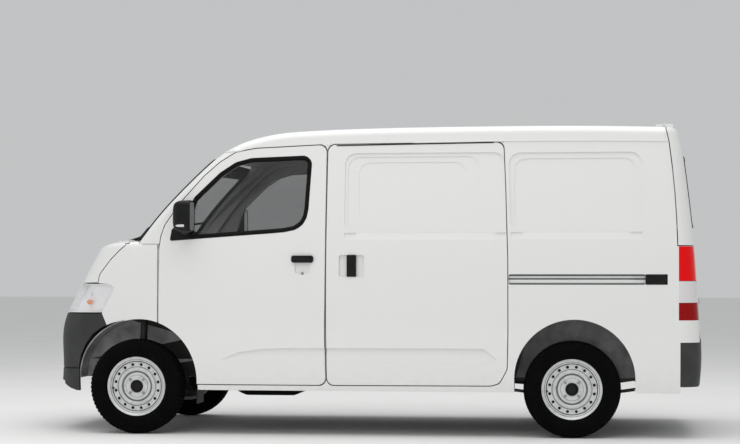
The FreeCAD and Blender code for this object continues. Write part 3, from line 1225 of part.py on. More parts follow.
for where, (along, sign) in WHEELS.items():
    tyre = turned("tyre_" + where, "YZ_Plane", TYRE_PROFILE, "H_Axis")
    place_wheel(tyre, along, sign, "Sizes.tyre_width")
    pieces[tyre.Name] = tyre
    rim = turned("rim_" + where, "YZ_Plane", RIM_PROFILE, "H_Axis")
    plane = [item for item in rim.Origin.OriginFeatures if item.Role == "XZ_Plane"][0]
    spot = rim.newObject("Sketcher::SketchObject", rim.Name + "_vent")
    spot.AttachmentSupport = [(plane, "")]
    spot.MapMode = "FlatFace"
    circle = spot.addGeometry(Part.Circle(Vector(0, d.vent_circle, 0), Vector(0, 0, 1), d.vent_radius))
    spot.addConstraint(Sketcher.Constraint("DistanceX", -1, 1, circle, 3, 0))
    level = spot.addConstraint(Sketcher.Constraint("DistanceY", -1, 1, circle, 3, d.vent_circle))
    spot.setExpression(f"Constraints[{level}]", "Sizes.vent_circle")
    bore = spot.addConstraint(Sketcher.Constraint("Radius", circle, d.vent_radius))
    spot.setExpression(f"Constraints[{bore}]", "Sizes.vent_radius")
    vent = rim.newObject("PartDesign::Pocket", rim.Name + "_hole")
    vent.Profile = spot
    vent.Type = "ThroughAll"
    vent.Midplane = True
    doc.recompute()
    ring = rim.newObject("PartDesign::PolarPattern", rim.Name + "_holes")
    ring.Originals = [vent]
    ring.Axis = ([item for item in rim.Origin.OriginFeatures if item.Role == "Y_Axis"][0], [""])
    ring.Angle = 360
    ring.setExpression("Occurrences", "Sizes.vent_count")
    rim.Tip = ring
    doc.recompute()
    place_wheel(rim, along, sign, "Sizes.rim_width")
    pieces[rim.Name] = rim

# Knuckles, struts and spindles
hub_inner = -WHEEL_Y + d.rim_width / 2 - d.rim_wall
knuckle = Part.makeSphere(d.ball_radius, KING_LOW)
knuckle = knuckle.fuse([
    Part.makeCylinder(d.ball_radius * STEM_SHARE, KING_LINE.Length / 4, KING_LOW, KING_LINE),
    Part.makeCylinder(d.strut_radius, KING_LINE.Length * STRUT_LENGTH_SHARE,
                      KING_LOW + KING_LINE * STRUT_START_SHARE, KING_LINE),
    drum(d.hub_radius * HUB_STUB_SHARE, (FRONT_AXLE, hub_inner + d.overrun, HUB_LEVEL), (0, -1, 0),
         d.overrun + d.disc_wall * 2),
    drum(d.disc_radius, (FRONT_AXLE, hub_inner - d.disc_wall, HUB_LEVEL), (0, -1, 0), d.disc_wall),
    drum(d.spindle_radius, (FRONT_AXLE, hub_inner, HUB_LEVEL), (0, -1, 0),
         d.spindle_reach + hub_inner),
])
keep("knuckle_left", single(knuckle))
keep("knuckle_right", mirrored(single(knuckle)))

# Chassis rails
rail_low_front = d.cab_floor_level - d.floor_sheet - d.rail_height
rail_low_rear = d.floor_level - d.floor_sheet - d.rail_height
kick_front = -d.engine_front
kick_rear = kick_front * 2 / 3
rail_line = [(-HALF_LENGTH, rail_low_front), (kick_front, rail_low_front), (kick_rear, rail_low_rear),
             (floor_rear, rail_low_rear)]
rail_outline = rail_line + [(x, z + d.rail_height) for x, z in reversed(rail_line)]
rail = side_prism(rail_outline, -d.rail_inner, -d.rail_inner - d.rail_width)
rail = single(rail.common(flank_bumper_seat))
crossings = [(REAR_AXLE - d.spring_front_reach, rail_low_rear), (REAR_AXLE + d.rail_width, rail_low_rear),
             (kick_front - d.rail_width * 2, rail_low_front)]
members = [block((x - d.rail_width / 2, -d.rail_inner, z),
                 (x + d.rail_width / 2, d.rail_inner, z + d.rail_height)) for x, z in crossings]
chassis = rail.fuse([mirrored(rail)] + members)
keep("chassis_rails", chassis)

# Front suspension: cross beam and arms
beam_top = rail_low_front
beam = block((FRONT_AXLE - d.beam_length / 2, -d.rail_inner - d.rail_width, beam_top - d.beam_height),
             (FRONT_AXLE + d.beam_length / 2, d.rail_inner + d.rail_width, beam_top))
arm_top = d.kingpin_low_z - d.ball_radius - d.seat_gap


def frame_wire(x_half, y, low, high):
    """Upright rectangle across the van at one Y."""
    corners = [(FRONT_AXLE - x_half, low), (FRONT_AXLE + x_half, low),
               (FRONT_AXLE + x_half, high), (FRONT_AXLE - x_half, high)]
    return Part.makePolygon([Vector(x, y, z) for x, z in corners + corners[:1]])


arm = Part.makeLoft([
    frame_wire(d.arm_width / 2, -d.rail_inner, beam_top - d.beam_height,
               beam_top - d.beam_height + d.arm_wall),
    frame_wire(d.arm_width / 4, -d.kingpin_low_y, arm_top - d.arm_wall, arm_top),
], True, True)
arm = arm.fuse(drum(d.ball_radius + d.arm_wall / 2, (FRONT_AXLE, -d.kingpin_low_y, arm_top - d.arm_wall),
                    (0, 0, 1), d.arm_wall))
arm = arm.cut(Part.makeSphere(d.ball_radius + 2 * d.seat_gap, KING_LOW))
front_suspension = beam.fuse([arm, mirrored(arm)])
keep("front_suspension", front_suspension)

# Rear axle
REAR_X = "Sizes.front_overhang - Sizes.body_length / 2 + Sizes.wheelbase"
DRUM_Y = "(Sizes.wheel_track / 2 - Sizes.rim_width / 2 + Sizes.rim_wall + Sizes.drum_width / 2)"
ACROSS = ((1, 0, 0), -90)
axle_tube = bound("Part::Cylinder", "axle_tube", (REAR_X, f"-{DRUM_Y}", "Sizes.tyre_radius"), ACROSS,
                  Radius="Sizes.axle_radius", Height=f"2 * {DRUM_Y}")
axle_ends = bound("Part::Cylinder", "axle_ends", (REAR_X, "-Sizes.spindle_reach", "Sizes.tyre_radius"),
                  ACROSS, Radius="Sizes.spindle_radius", Height="2 * Sizes.spindle_reach")
diff = bound("Part::Sphere", "diff_case", (REAR_X, "0", "Sizes.tyre_radius"), Radius="Sizes.diff_radius")
drums = []
for sign, label in ((-1, "left"), (1, "right")):
    base = f"{sign} * {DRUM_Y}" + (" - Sizes.drum_width" if sign > 0 else "")
    drums.append(bound("Part::Cylinder", "brake_drum_" + label, (REAR_X, base, "Sizes.tyre_radius"), ACROSS,
                       Radius="Sizes.drum_radius", Height="Sizes.drum_width"))
rear_axle = joined("rear_axle", [axle_tube, axle_ends, diff] + drums)

# Leaf springs with hangers
spring_top = HUB_LEVEL - d.axle_radius - d.seat_gap
spring = None
floor_under = d.floor_level - d.floor_sheet
for index, share in enumerate(LEAF_SHARES):
    top = spring_top - index * (d.spring_leaf + d.seat_gap)
    front_x = REAR_AXLE - d.spring_front_reach * share
    rear_x = REAR_AXLE + d.spring_rear_reach * share
    lift = d.spring_sag * share ** 2
    upper = Part.Arc(Vector(front_x, 0, top + lift), Vector(REAR_AXLE, 0, top),
                     Vector(rear_x, 0, top + lift)).toShape()
    lower = upper.translated(Vector(0, 0, -d.spring_leaf))
    ends = [Part.makeLine(upper.Vertexes[-1].Point, lower.Vertexes[-1].Point),
            Part.makeLine(lower.Vertexes[0].Point, upper.Vertexes[0].Point)]
    wire = Part.Wire(Part.__sortEdges__([upper, lower] + ends))
    leaf = Part.Face(wire).extrude(Vector(0, d.spring_width, 0))
    leaf.translate(Vector(0, -d.spring_y - d.spring_width / 2, 0))
    spring = leaf if spring is None else spring.fuse(leaf)
clip = block((REAR_AXLE - d.rail_width, -d.spring_y - d.spring_width / 2, spring_top - 4 * d.spring_leaf),
             (REAR_AXLE + d.rail_width, -d.spring_y + d.spring_width / 2, spring_top))
spring = spring.fuse(clip)
for x in (REAR_AXLE - d.spring_front_reach, REAR_AXLE + d.spring_rear_reach):
    level = spring_top + d.spring_sag
    wide = d.rail_width
    hanger = side_prism([(x - wide, floor_under), (x + wide, floor_under), (x + wide / 2, level - wide / 3),
                         (x - wide / 2, level - wide / 3)],
                        -d.spring_y + d.spring_width / 2, -d.spring_y - d.spring_width / 2)
    spring = spring.fuse(hanger)
axle_room = drum(d.axle_radius + d.seat_gap, (REAR_AXLE, -HALF_WIDTH, HUB_LEVEL), (0, 1, 0), HALF_WIDTH)
spring = single(spring.cut([rear_house, axle_room]))
keep("leaf_springs", Part.makeCompound([spring, mirrored(spring)]))

# Engine, shaft, exhaust, tank
engine = bound("Part::Box", "engine_core",
               ("-Sizes.engine_front", "-Sizes.engine_width / 2", "Sizes.engine_bottom"),
               Length="Sizes.engine_length", Width="Sizes.engine_width", Height="Sizes.engine_height")
engine_back = -d.engine_front + d.engine_length
shaft_start = Vector(engine_back + d.seat_gap, 0, d.engine_bottom + d.engine_height * SHAFT_LEVEL_SHARE)
shaft_end = Vector(REAR_AXLE - d.diff_radius - d.seat_gap, 0, HUB_LEVEL)
shaft_line = shaft_end - shaft_start
shaft = Part.makeCylinder(d.shaft_radius, shaft_line.Length, shaft_start, shaft_line)
diff_room = Part.makeSphere(d.diff_radius + d.seat_gap, Vector(REAR_AXLE, 0, HUB_LEVEL))
engine_room = block((engine_back - d.overrun, -d.overrun, 0),
                    (engine_back + d.seat_gap, d.overrun, HALF_LENGTH))
keep("prop_shaft", single(shaft.cut([diff_room, engine_room])))
engine_box = doc.addObject("Part::Fillet", "engine_block")
engine_box.Base = engine
doc.recompute()
engine_box.Edges = [(i + 1, d.arm_wall, d.arm_wall) for i in range(len(engine.Shape.Edges))]
pieces["engine_block"] = engine_box
pipe_y = d.engine_width / 2 - d.exhaust_radius
pipe_z = HUB_LEVEL + d.diff_radius
silencer = drum(d.silencer_radius, (-d.seat_box_back + d.silencer_length, pipe_y, pipe_z), (1, 0, 0),
                d.silencer_length)
pipe = drum(d.exhaust_radius, (engine_back + d.seat_gap, pipe_y, pipe_z), (1, 0, 0),
            floor_rear - d.overrun - engine_back)
hanger_x = -d.seat_box_back + 3 * d.silencer_length / 2
exhaust_hanger = block((hanger_x, pipe_y - d.rib_width, pipe_z),
                       (hanger_x + d.rail_width, pipe_y + d.rib_width, floor_under))
keep("exhaust", single(silencer.fuse([pipe, exhaust_hanger])))
tank_front = -d.seat_box_back + d.tank_length / 2
tank_side = d.rail_inner + d.rail_width
tank = block((tank_front, tank_side + d.seat_gap, floor_under - d.tank_height),
             (tank_front + d.tank_length, tank_side + d.tank_width - d.seat_gap, floor_under))
tank_edges = [edge for edge in tank.Edges if edge.CenterOfMass.z < floor_under - d.seat_gap]
keep("fuel_tank", tank.makeFillet(d.arm_wall, tank_edges))
spare_x = REAR_AXLE + d.rear_arch_radius + d.overrun / 2
spare = drum(d.spare_radius, (spare_x, 0, floor_under - d.spare_width), (0, 0, 1), d.spare_width)
keep("spare_wheel", spare.makeChamfer(d.corner_radius / 2, spare.Edges))

# Seats
seat_front = box_front + d.overrun
cushion = block((seat_front, -d.seat_y - d.seat_width / 2, d.seat_box_level + d.seat_gap),
                (seat_front + d.seat_depth, -d.seat_y + d.seat_width / 2,
                 d.seat_box_level + d.cushion_height))
cushion = cushion.makeFillet(d.corner_radius / 2, cushion.Edges)
back_low = d.seat_box_level + d.cushion_height - d.overrun
rest_back = box_back + d.overrun / 2
rest_front = rest_back - d.backrest_wall * BACKREST_TOP_SHARE
back_points = [(seat_front + d.seat_depth - d.backrest_wall * BACKREST_FOOT_SHARE, back_low),
               (seat_front + d.seat_depth + d.overrun * BACKREST_LEAN_SHARE, back_low),
               (rest_back, back_low + d.backrest_height), (rest_front, back_low + d.backrest_height)]
backrest = side_prism(back_points, -d.seat_y + d.seat_width / 2 - d.arm_wall,
                      -d.seat_y - d.seat_width / 2 + d.arm_wall)
backrest = backrest.makeFillet(d.corner_radius / 2, backrest.Edges)
rest_low = back_low + d.backrest_height - d.corner_radius
headrest = block((rest_front, -d.seat_y - d.headrest_width / 2, rest_low),
                 (rest_back, -d.seat_y + d.headrest_width / 2, rest_low + d.headrest_height))
headrest = headrest.makeFillet(d.corner_radius / 2, headrest.Edges)
seat = single(cushion.fuse([backrest, headrest]))
keep("front_seats", Part.makeCompound([seat, mirrored(seat)]))

# Steering wheel and column
wheel_centre = Vector(-HALF_LENGTH * STEERING_X_SHARE, -d.seat_y,
                      d.seat_box_level + d.cushion_height * STEERING_LEVEL_SHARE)
lean = Vector(STEERING_LEAN_SHARES[0], 0, STEERING_LEAN_SHARES[1])
grip_corners = []
for turn in range(round(d.grip_sides)):
    angle = math.tau * turn / d.grip_sides
    grip_corners.append(Vector(d.steering_wheel_radius + d.steering_wheel_grip * math.cos(angle), 0,
                               d.steering_wheel_grip * math.sin(angle)))
grip_face = Part.Face(Part.makePolygon(grip_corners + grip_corners[:1]))
ring = grip_face.revolve(GROUND, Vector(0, 0, 1), 360)
ring.Placement = Placement(wheel_centre, Rotation(Vector(0, 0, 1), lean))
spoke = Part.makeCylinder(d.steering_wheel_grip / 2, 2 * d.steering_wheel_radius,
                          wheel_centre - Vector(0, d.steering_wheel_radius, 0), Vector(0, 1, 0))
column = Part.makeCylinder(d.steering_wheel_grip * 2, d.steering_wheel_radius * COLUMN_SHARE,
                           wheel_centre, lean)
steering = ring.fuse([spoke, column]).cut(dash)
keep("steering_wheel", single(steering))

# Mud flaps behind the front wheels
flap_x = FRONT_ARCH[0] + d.front_arch_radius
flap = block((flap_x + d.seat_gap, -HALF_WIDTH + d.skin_wall, d.sill_bottom - d.overrun * FLAP_DROP_SHARE),
             (flap_x + d.flap_wall, -HALF_WIDTH + d.flap_width, d.sill_bottom - d.seat_gap))
keep("mud_flaps", Part.makeCompound([flap, mirrored(flap)]))

# Check and write
doc.recompute()
doc.removeObject("probe")
faults = [thing.Label for thing in doc.Objects if "Invalid" in thing.State or "Error" in thing.State]
faults += [label for label, thing in pieces.items() if thing.Shape.isNull() or not thing.Shape.isValid()]
if faults:
    raise RuntimeError("not built: " + ", ".join(faults))
os.makedirs("parts", exist_ok=True)
for label, thing in pieces.items():
    thing.Label = label
    thing.Shape.exportStep(os.path.join("parts", label + ".step"))
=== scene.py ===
"""Looks of the panel van: finishes, glass, lamps, wheels, trim, seats, studio and camera.

Everything is in metres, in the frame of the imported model: X to the rear, Y to the right, Z up.
"""

import json
import logging
import math
from collections.abc import Callable, Iterator, Sequence
from contextlib import contextmanager
from dataclasses import dataclass, field
from enum import Enum

import bmesh
import bpy
from mathutils import Matrix, Vector
from mathutils.bvhtree import BVHTree

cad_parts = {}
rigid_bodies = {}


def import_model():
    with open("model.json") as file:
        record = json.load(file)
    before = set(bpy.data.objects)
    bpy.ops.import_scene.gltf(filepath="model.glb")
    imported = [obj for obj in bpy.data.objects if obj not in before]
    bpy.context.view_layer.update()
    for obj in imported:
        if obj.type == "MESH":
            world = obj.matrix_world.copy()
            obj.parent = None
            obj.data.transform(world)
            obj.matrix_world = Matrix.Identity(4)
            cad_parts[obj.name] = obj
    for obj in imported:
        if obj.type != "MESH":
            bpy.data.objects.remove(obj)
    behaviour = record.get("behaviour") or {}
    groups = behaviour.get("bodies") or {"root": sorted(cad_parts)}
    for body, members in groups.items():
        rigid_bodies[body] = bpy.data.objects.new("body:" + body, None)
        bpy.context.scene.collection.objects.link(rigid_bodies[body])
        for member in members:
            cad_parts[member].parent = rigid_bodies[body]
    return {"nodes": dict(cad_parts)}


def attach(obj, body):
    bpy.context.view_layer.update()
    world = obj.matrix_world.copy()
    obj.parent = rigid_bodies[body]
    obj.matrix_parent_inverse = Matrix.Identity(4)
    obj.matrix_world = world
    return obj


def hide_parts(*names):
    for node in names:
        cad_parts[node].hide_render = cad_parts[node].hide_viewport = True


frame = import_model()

LOG = logging.getLogger("panel_van")
MM = 0.001
FRONT_AXLE, REAR_AXLE = -1.4195, 1.2305
WHEEL_Y, WHEEL_Z = 0.730, 0.290
Point = tuple[float, float, float]
Pair = tuple[float, float]
Net = tuple[list[Point], list[tuple]]
Spots = tuple[float, float, float, float]
Levels = tuple[tuple[str, float], ...]


class Side(Enum):
    """The two flanks, with the sign of their Y."""

    LEFT = -1
    RIGHT = 1

    @property
    def label(self) -> str:
        """Word used in node and body names."""
        return self.name.lower()


SIDES = (Side.LEFT, Side.RIGHT)


def linear(colour: str) -> tuple[float, float, float, float]:
    """Turn an sRGB hex colour into linear RGBA.

    Args:
        colour: six hex digits after a hash.

    Returns:
        Linear red, green, blue and an alpha of one.
    """
    parts = [int(colour[i:i + 2], 16) / 255 for i in (1, 3, 5)]
    red, green, blue = (p / 12.92 if p <= 0.04045 else ((p + 0.055) / 1.055) ** 2.4 for p in parts)
    return red, green, blue, 1.0


def add_node(tree: bpy.types.NodeTree, kind: str, inputs: dict | None = None, **settings) -> bpy.types.Node:
    """Add a shader node with its settings, values and links.

    Args:
        tree: the tree that gets the node.
        kind: Blender's type name of the node.
        inputs: a value or an output socket for each input, by name or place.
        settings: attributes of the node.

    Returns:
        The new node.
    """
    node = tree.nodes.new(kind)
    for name, value in settings.items():
        setattr(node, name, value)
    for name, value in (inputs or {}).items():
        socket = node.inputs[name]
        if isinstance(value, bpy.types.NodeSocket):
            tree.links.new(value, socket)
        else:
            socket.default_value = value
    return node


@dataclass(frozen=True)
class Finish:
    """A finish with one main colour; its kinds say what their surface shows.

    The other colour comes in patches, told by (spot width in mm, detail, mask level that is still
    plain, mask level that is fully the other). The grain is told by (width in mm, detail, depth in
    mm, strength). Grain that is finer than about 1.5 mm in the real finish is drawn that coarse or
    coarser, so that it shows. The levels are those of the shader, by its names for them.
    """

    name: str
    colour: str
    roughness: float
    other: str = "#000000"
    alpha: float = 1.0
    patches: Spots | None = None
    grain: Spots | None = None
    levels: Levels = ()

    def material(self) -> bpy.types.Material:
        """The Blender material of this finish, made once.

        Returns:
            The material, found by its name or made.
        """
        found = bpy.data.materials.get(self.name)
        if found:
            return found
        made = bpy.data.materials.new(self.name)
        made.use_nodes = True
        made.diffuse_color = linear(self.colour)
        shader = made.node_tree.nodes["Principled BSDF"]
        own = ("Base Color", linear(self.colour)), ("Roughness", self.roughness), ("Alpha", self.alpha)
        for name, value in own + self.levels:
            shader.inputs[name].default_value = value
        self.dress(made.node_tree, shader)
        return made

    def dress(self, tree: bpy.types.NodeTree, shader: bpy.types.Node) -> None:
        """Add the nodes of the surface: patches and grain, where it has them.

        Args:
            tree: the material's tree.
            shader: the principled shader.
        """
        if self.patches:
            width, detail, low, high = self.patches
            self.vary(tree, shader, self.spots(tree, width, detail), low, high)
        if self.grain:
            width, detail, depth, strength = self.grain
            self.relief(tree, shader, self.spots(tree, width, detail), depth, strength)

    def place(self, tree: bpy.types.NodeTree) -> bpy.types.NodeSocket:
        """Where a point of the surface lies on its piece, in metres."""
        return add_node(tree, "ShaderNodeTexCoord").outputs["Object"]

    def spots(self, tree: bpy.types.NodeTree, size_mm: float, detail: float,
              stretch: Point = (1.0, 1.0, 1.0)) -> bpy.types.NodeSocket:
        """Uneven spots about as large as size_mm.

        Args:
            tree: the material's tree.
            size_mm: width of a spot in millimetres.
            detail: finer layers on top.
            stretch: how much each axis is squeezed.

        Returns:
            The value socket, from 0 to 1.
        """
        mapping = add_node(tree, "ShaderNodeMapping", {"Vector": self.place(tree), "Scale": stretch})
        texture = add_node(tree, "ShaderNodeTexNoise", {
            "Vector": mapping.outputs["Vector"], "Scale": 1 / (size_mm * MM), "Detail": detail,
        })
        return texture.outputs["Fac"]

    def waves(self, tree: bpy.types.NodeTree, width_mm: float, across: str) -> bpy.types.NodeSocket:
        """Even waves as wide as width_mm, across an axis or the diagonal.

        Args:
            tree: the material's tree.
            width_mm: width of a wave in millimetres.
            across: Blender's name of the direction.

        Returns:
            The value socket, from 0 to 1.
        """
        return add_node(tree, "ShaderNodeTexWave", {
            "Vector": self.place(tree), "Scale": math.pi / (10 * width_mm * MM),
        }, bands_direction=across).outputs["Fac"]

    def relief(self, tree: bpy.types.NodeTree, shader: bpy.types.Node, height: bpy.types.NodeSocket,
               depth_mm: float, strength: float) -> None:
        """Bend the shader's normal by a height that is depth_mm tall.

        Args:
            tree: the material's tree.
            shader: the principled shader.
            height: height from 0 to 1.
            depth_mm: depth of the relief in millimetres.
            strength: share of the bend that is used.
        """
        bent = add_node(tree, "ShaderNodeBump", {
            "Height": height, "Distance": depth_mm * MM, "Strength": strength,
        })
        tree.links.new(bent.outputs["Normal"], shader.inputs["Normal"])

    def vary(self, tree: bpy.types.NodeTree, shader: bpy.types.Node, mask: bpy.types.NodeSocket,
             low: float, high: float) -> None:
        """Mix the main colour with the other by a mask between two levels.

        Args:
            tree: the material's tree.
            shader: the principled shader.
            mask: what chooses between the two colours.
            low: mask level that still shows the main colour.
            high: mask level that shows the other colour fully.
        """
        share = add_node(tree, "ShaderNodeMapRange", {"Value": mask, "From Min": low, "From Max": high})
        mix = add_node(tree, "ShaderNodeMix", {
            0: share.outputs["Result"], 6: linear(self.colour), 7: linear(self.other),
        }, data_type="RGBA")
        tree.links.new(mix.outputs[2], shader.inputs["Base Color"])


@dataclass(frozen=True)
class StovedEnamel(Finish):
    """Sprayed and stoved car enamel under clear lacquer: mirror gloss, orange peel 5 mm wide."""

    other: str = "#deddd9"
    grain: Spots = (5.0, 1.0, 0.012, 0.5)
    levels: Levels = (
        ("Coat Weight", 1.0), ("Coat Roughness", 0.03), ("Coat IOR", 1.5), ("Specular IOR Level", 0.4),
    )
    dust_top: float = 0.46
    dust_edge: float = 0.22

    def dress(self, tree: bpy.types.NodeTree, shader: bpy.types.Node) -> None:
        """A slightly darker tone towards the bottom, below an uneven edge, and the orange peel.

        Args:
            tree: the material's tree.
            shader: the principled shader.
        """
        height = add_node(tree, "ShaderNodeSeparateXYZ", {"Vector": self.place(tree)}).outputs["Z"]
        spots = self.spots(tree, 60.0, 6.0)
        edge = add_node(tree, "ShaderNodeMath", {0: spots, 1: self.dust_edge}, operation="MULTIPLY")
        level = add_node(tree, "ShaderNodeMath", {0: self.dust_top, 1: height}, operation="SUBTRACT")
        mask = add_node(tree, "ShaderNodeMath", {
            0: level.outputs[0], 1: edge.outputs[0],
        }, operation="SUBTRACT")
        self.vary(tree, shader, mask.outputs[0], -0.02, 0.30)
        super().dress(tree, shader)


@dataclass(frozen=True)
class MouldedPolypropylene(Finish):
    """Moulded-in grey polypropylene with leather grain: dull, with small cells that catch light."""

    patches: Spots = (140.0, 5.0, 0.45, 0.75)
    cell_mm: float = 3.0

    def dress(self, tree: bpy.types.NodeTree, shader: bpy.types.Node) -> None:
        """Faded patches and cell grain, drawn twice as coarse as the real one so that it shows.

        Args:
            tree: the material's tree.
            shader: the principled shader.
        """
        super().dress(tree, shader)
        scale = 1 / (self.cell_mm * MM)
        cells = add_node(tree, "ShaderNodeTexVoronoi", {"Vector": self.place(tree), "Scale": scale})
        self.relief(tree, shader, cells.outputs["Distance"], 0.25, 0.6)


@dataclass(frozen=True)
class MouldedAbs(Finish):
    """Black ABS: soft sheen, sand-like spark-eroded grain and slight changes of gloss."""

    other: str = "#151516"
    patches: Spots = (45.0, 4.0, 0.4, 0.8)
    grain: Spots = (1.6, 2.0, 0.12, 0.5)
    levels: Levels = (("Specular IOR Level", 0.28),)


@dataclass(frozen=True)
class ExtrudedRubber(Finish):
    """Extruded EPDM seal: deep black with a matt bloom in soft patches."""

    other: str = "#0e0e0e"
    patches: Spots = (25.0, 3.0, 0.45, 0.8)
    grain: Spots = (2.0, 2.0, 0.05, 0.5)
    levels: Levels = (("Specular IOR Level", 0.2),)


@dataclass(frozen=True)
class VulcanisedRubber(Finish):
    """Moulded tyre rubber: nearly black, dust in patches as wide as a hand, fine mould skin."""

    other: str = "#090908"
    patches: Spots = (80.0, 6.0, 0.42, 0.85)
    grain: Spots = (2.5, 3.0, 0.15, 0.6)
    levels: Levels = (("Specular IOR Level", 0.1),)


@dataclass(frozen=True)
class ChassisPaint(Finish):
    """Dipped chassis paint: thick, slightly uneven, with road dirt in clouds."""

    other: str = "#34302b"
    patches: Spots = (110.0, 7.0, 0.42, 0.8)
    grain: Spots = (9.0, 4.0, 0.3, 0.5)


@dataclass(frozen=True)
class SandCastIron(Finish):
    """Sand-cast iron: grey metal with a coarse, dry grain 2 mm wide and a light bloom of rust."""

    other: str = "#5a4636"
    patches: Spots = (60.0, 8.0, 0.5, 0.85)
    grain: Spots = (2.0, 4.0, 0.4, 0.7)
    levels: Levels = (("Metallic", 0.7),)


@dataclass(frozen=True)
class DrawnAluminium(Finish):
    """Drawn aluminium rail: satin metal with fine lines along its length."""

    other: str = "#626466"
    levels: Levels = (("Metallic", 1.0),)

    def dress(self, tree: bpy.types.NodeTree, shader: bpy.types.Node) -> None:
        """Drawing lines 1.5 mm apart, long in X.

        Args:
            tree: the material's tree.
            shader: the principled shader.
        """
        lines = self.spots(tree, 1.5, 3.0, (0.01, 1.0, 1.0))
        self.vary(tree, shader, lines, 0.4, 0.75)
        self.relief(tree, shader, lines, 0.05, 0.4)


@dataclass(frozen=True)
class WheelLacquer(Finish):
    """Silver lacquer on pressed steel: fine flakes under a thin clear coat, brake dust in clouds."""

    other: str = "#a9a7a3"
    patches: Spots = (30.0, 7.0, 0.5, 0.9)
    grain: Spots = (1.8, 2.0, 0.04, 0.5)
    levels: Levels = (("Metallic", 0.2), ("Coat Weight", 0.5), ("Coat Roughness", 0.15))


@dataclass(frozen=True)
class BrightMetal(Finish):
    """Bright metal with a trace of ripple: silvered mirror or zinc-plated fixing."""

    grain: Spots = (12.0, 1.0, 0.01, 0.3)
    levels: Levels = (("Metallic", 1.0),)


@dataclass(frozen=True)
class ToughenedGlass(Finish):
    """Tinted toughened glass: dark grey, seen through, with the faint waviness of rolled glass."""

    grain: Spots = (160.0, 0.0, 0.01, 0.1)
    levels: Levels = (("Specular IOR Level", 0.5), ("Coat Weight", 1.0), ("Coat Roughness", 0.01))


@dataclass(frozen=True)
class LampBowl(Finish):
    """Vacuum-aluminised lamp bowl: bright, with upright flutes that spread the light."""

    other: str = "#f2f1f4"
    patches: Spots = (90.0, 2.0, 0.35, 0.85)
    levels: Levels = (("Metallic", 0.15),)
    flute_mm: float = 14.0

    def dress(self, tree: bpy.types.NodeTree, shader: bpy.types.Node) -> None:
        """Bright coat over flutes as wide as flute_mm."""
        super().dress(tree, shader)
        self.relief(tree, shader, self.waves(tree, self.flute_mm, "Y"), 0.8, 0.5)


@dataclass(frozen=True)
class LampCover(Finish):
    """Clear hard-coated polycarbonate cover: almost unseen but for its gloss and moulding waves."""

    alpha: float = 0.10
    grain: Spots = (90.0, 0.0, 0.02, 0.2)
    levels: Levels = (("Coat Weight", 1.0), ("Coat Roughness", 0.02))


@dataclass(frozen=True)
class MouldedLens(Finish):
    """Moulded acrylic or polycarbonate lens: coloured, glossy, with prism ribs inside."""

    levels: Levels = (
        ("IOR", 1.49), ("Coat Weight", 0.1), ("Coat Roughness", 0.02), ("Specular IOR Level", 0.15),
    )
    transmission: float = 0.6
    rib_mm: float = 5.0

    def dress(self, tree: bpy.types.NodeTree, shader: bpy.types.Node) -> None:
        """See-through body with upright ribs as wide as rib_mm."""
        shader.inputs["Transmission Weight"].default_value = self.transmission
        self.relief(tree, shader, self.waves(tree, self.rib_mm, "Z"), 0.3, 0.35)


@dataclass(frozen=True)
class WovenCloth(Finish):
    """Flat-woven polyester seat cloth: soft, with a light sheen and threads over and under."""

    other: str = "#55585e"
    levels: Levels = (("Sheen Weight", 0.35),)
    thread_mm: float = 2.4

    def dress(self, tree: bpy.types.NodeTree, shader: bpy.types.Node) -> None:
        """Crossed threads, drawn three times as coarse as real.

        Args:
            tree: the material's tree.
            shader: the principled shader.
        """
        warp, weft = self.waves(tree, self.thread_mm, "Y"), self.waves(tree, self.thread_mm, "DIAGONAL")
        cross = add_node(tree, "ShaderNodeMath", {0: warp, 1: weft}, operation="MAXIMUM").outputs[0]
        self.vary(tree, shader, cross, 0.55, 1.0)
        self.relief(tree, shader, cross, 0.5, 0.6)


@dataclass(frozen=True)
class StudioPaint(Finish):
    """Matt floor paint: pale and even, with clouds as wide as a step."""

    other: str = "#f0f0ee"
    patches: Spots = (900.0, 3.0, 0.3, 0.8)


PAINT = StovedEnamel("white_stoved_enamel", "#ececea", 0.35)
BUMPER_GREY = MouldedPolypropylene("grained_grey_polypropylene", "#2d2d2e", 0.62, "#383839")
BLACK_ABS = MouldedAbs("grained_black_abs", "#090909", 0.5)
SEAL = ExtrudedRubber("extruded_epdm_seal", "#050505", 0.7)
TYRE = VulcanisedRubber("vulcanised_tyre_rubber", "#030303", 0.88)
CHASSIS = ChassisPaint("dipped_chassis_paint", "#171717", 0.5)
CASTING = SandCastIron("sand_cast_iron", "#5b5957", 0.65)
RAIL = DrawnAluminium("drawn_aluminium", "#77797b", 0.36)
WHEEL = WheelLacquer("silver_wheel_lacquer", "#d6d7d8", 0.36)
REFLECTOR = LampBowl("aluminised_lamp_bowl", "#fbfbfd", 0.3)
MIRROR = BrightMetal("silvered_mirror_glass", "#ccd2d6", 0.02)
ZINC = BrightMetal("zinc_plated_steel", "#a9a9a2", 0.35)
GLASS = ToughenedGlass("tinted_toughened_glass", "#101212", 0.02, alpha=0.27)
SCREEN_GLASS = ToughenedGlass("laminated_screen_glass", "#1c2221", 0.02, alpha=0.25)
CLEAR_LENS = LampCover("hard_coated_polycarbonate", "#f4f4f6", 0.04)
CLEAR_TAIL = MouldedLens("clear_acrylic_lens", "#e6e2e4", 0.12, transmission=0.05, rib_mm=6.0)
RED_LENS = MouldedLens("red_acrylic_lens", "#ee0307", 0.12, transmission=0.0, rib_mm=6.0)
DARK_RED_LENS = MouldedLens("dark_red_acrylic_lens", "#960103", 0.15, transmission=0.0, rib_mm=4.0)
AMBER_LENS = MouldedLens("amber_acrylic_lens", "#f08a2a", 0.12, transmission=0.1, rib_mm=6.0)
HOUSE_GREY = ChassisPaint("dipped_wheel_house_paint", "#868687", 0.6, "#55534f")
# Painted light: a lighter copy of the wheel-house paint for the front wheel house, standing for the light that
# reaches its front part.
HOUSE_PAINTED_LIGHT = ChassisPaint("dipped_inner_wing_paint", "#b4b4b5", 0.6, "#6a6763")
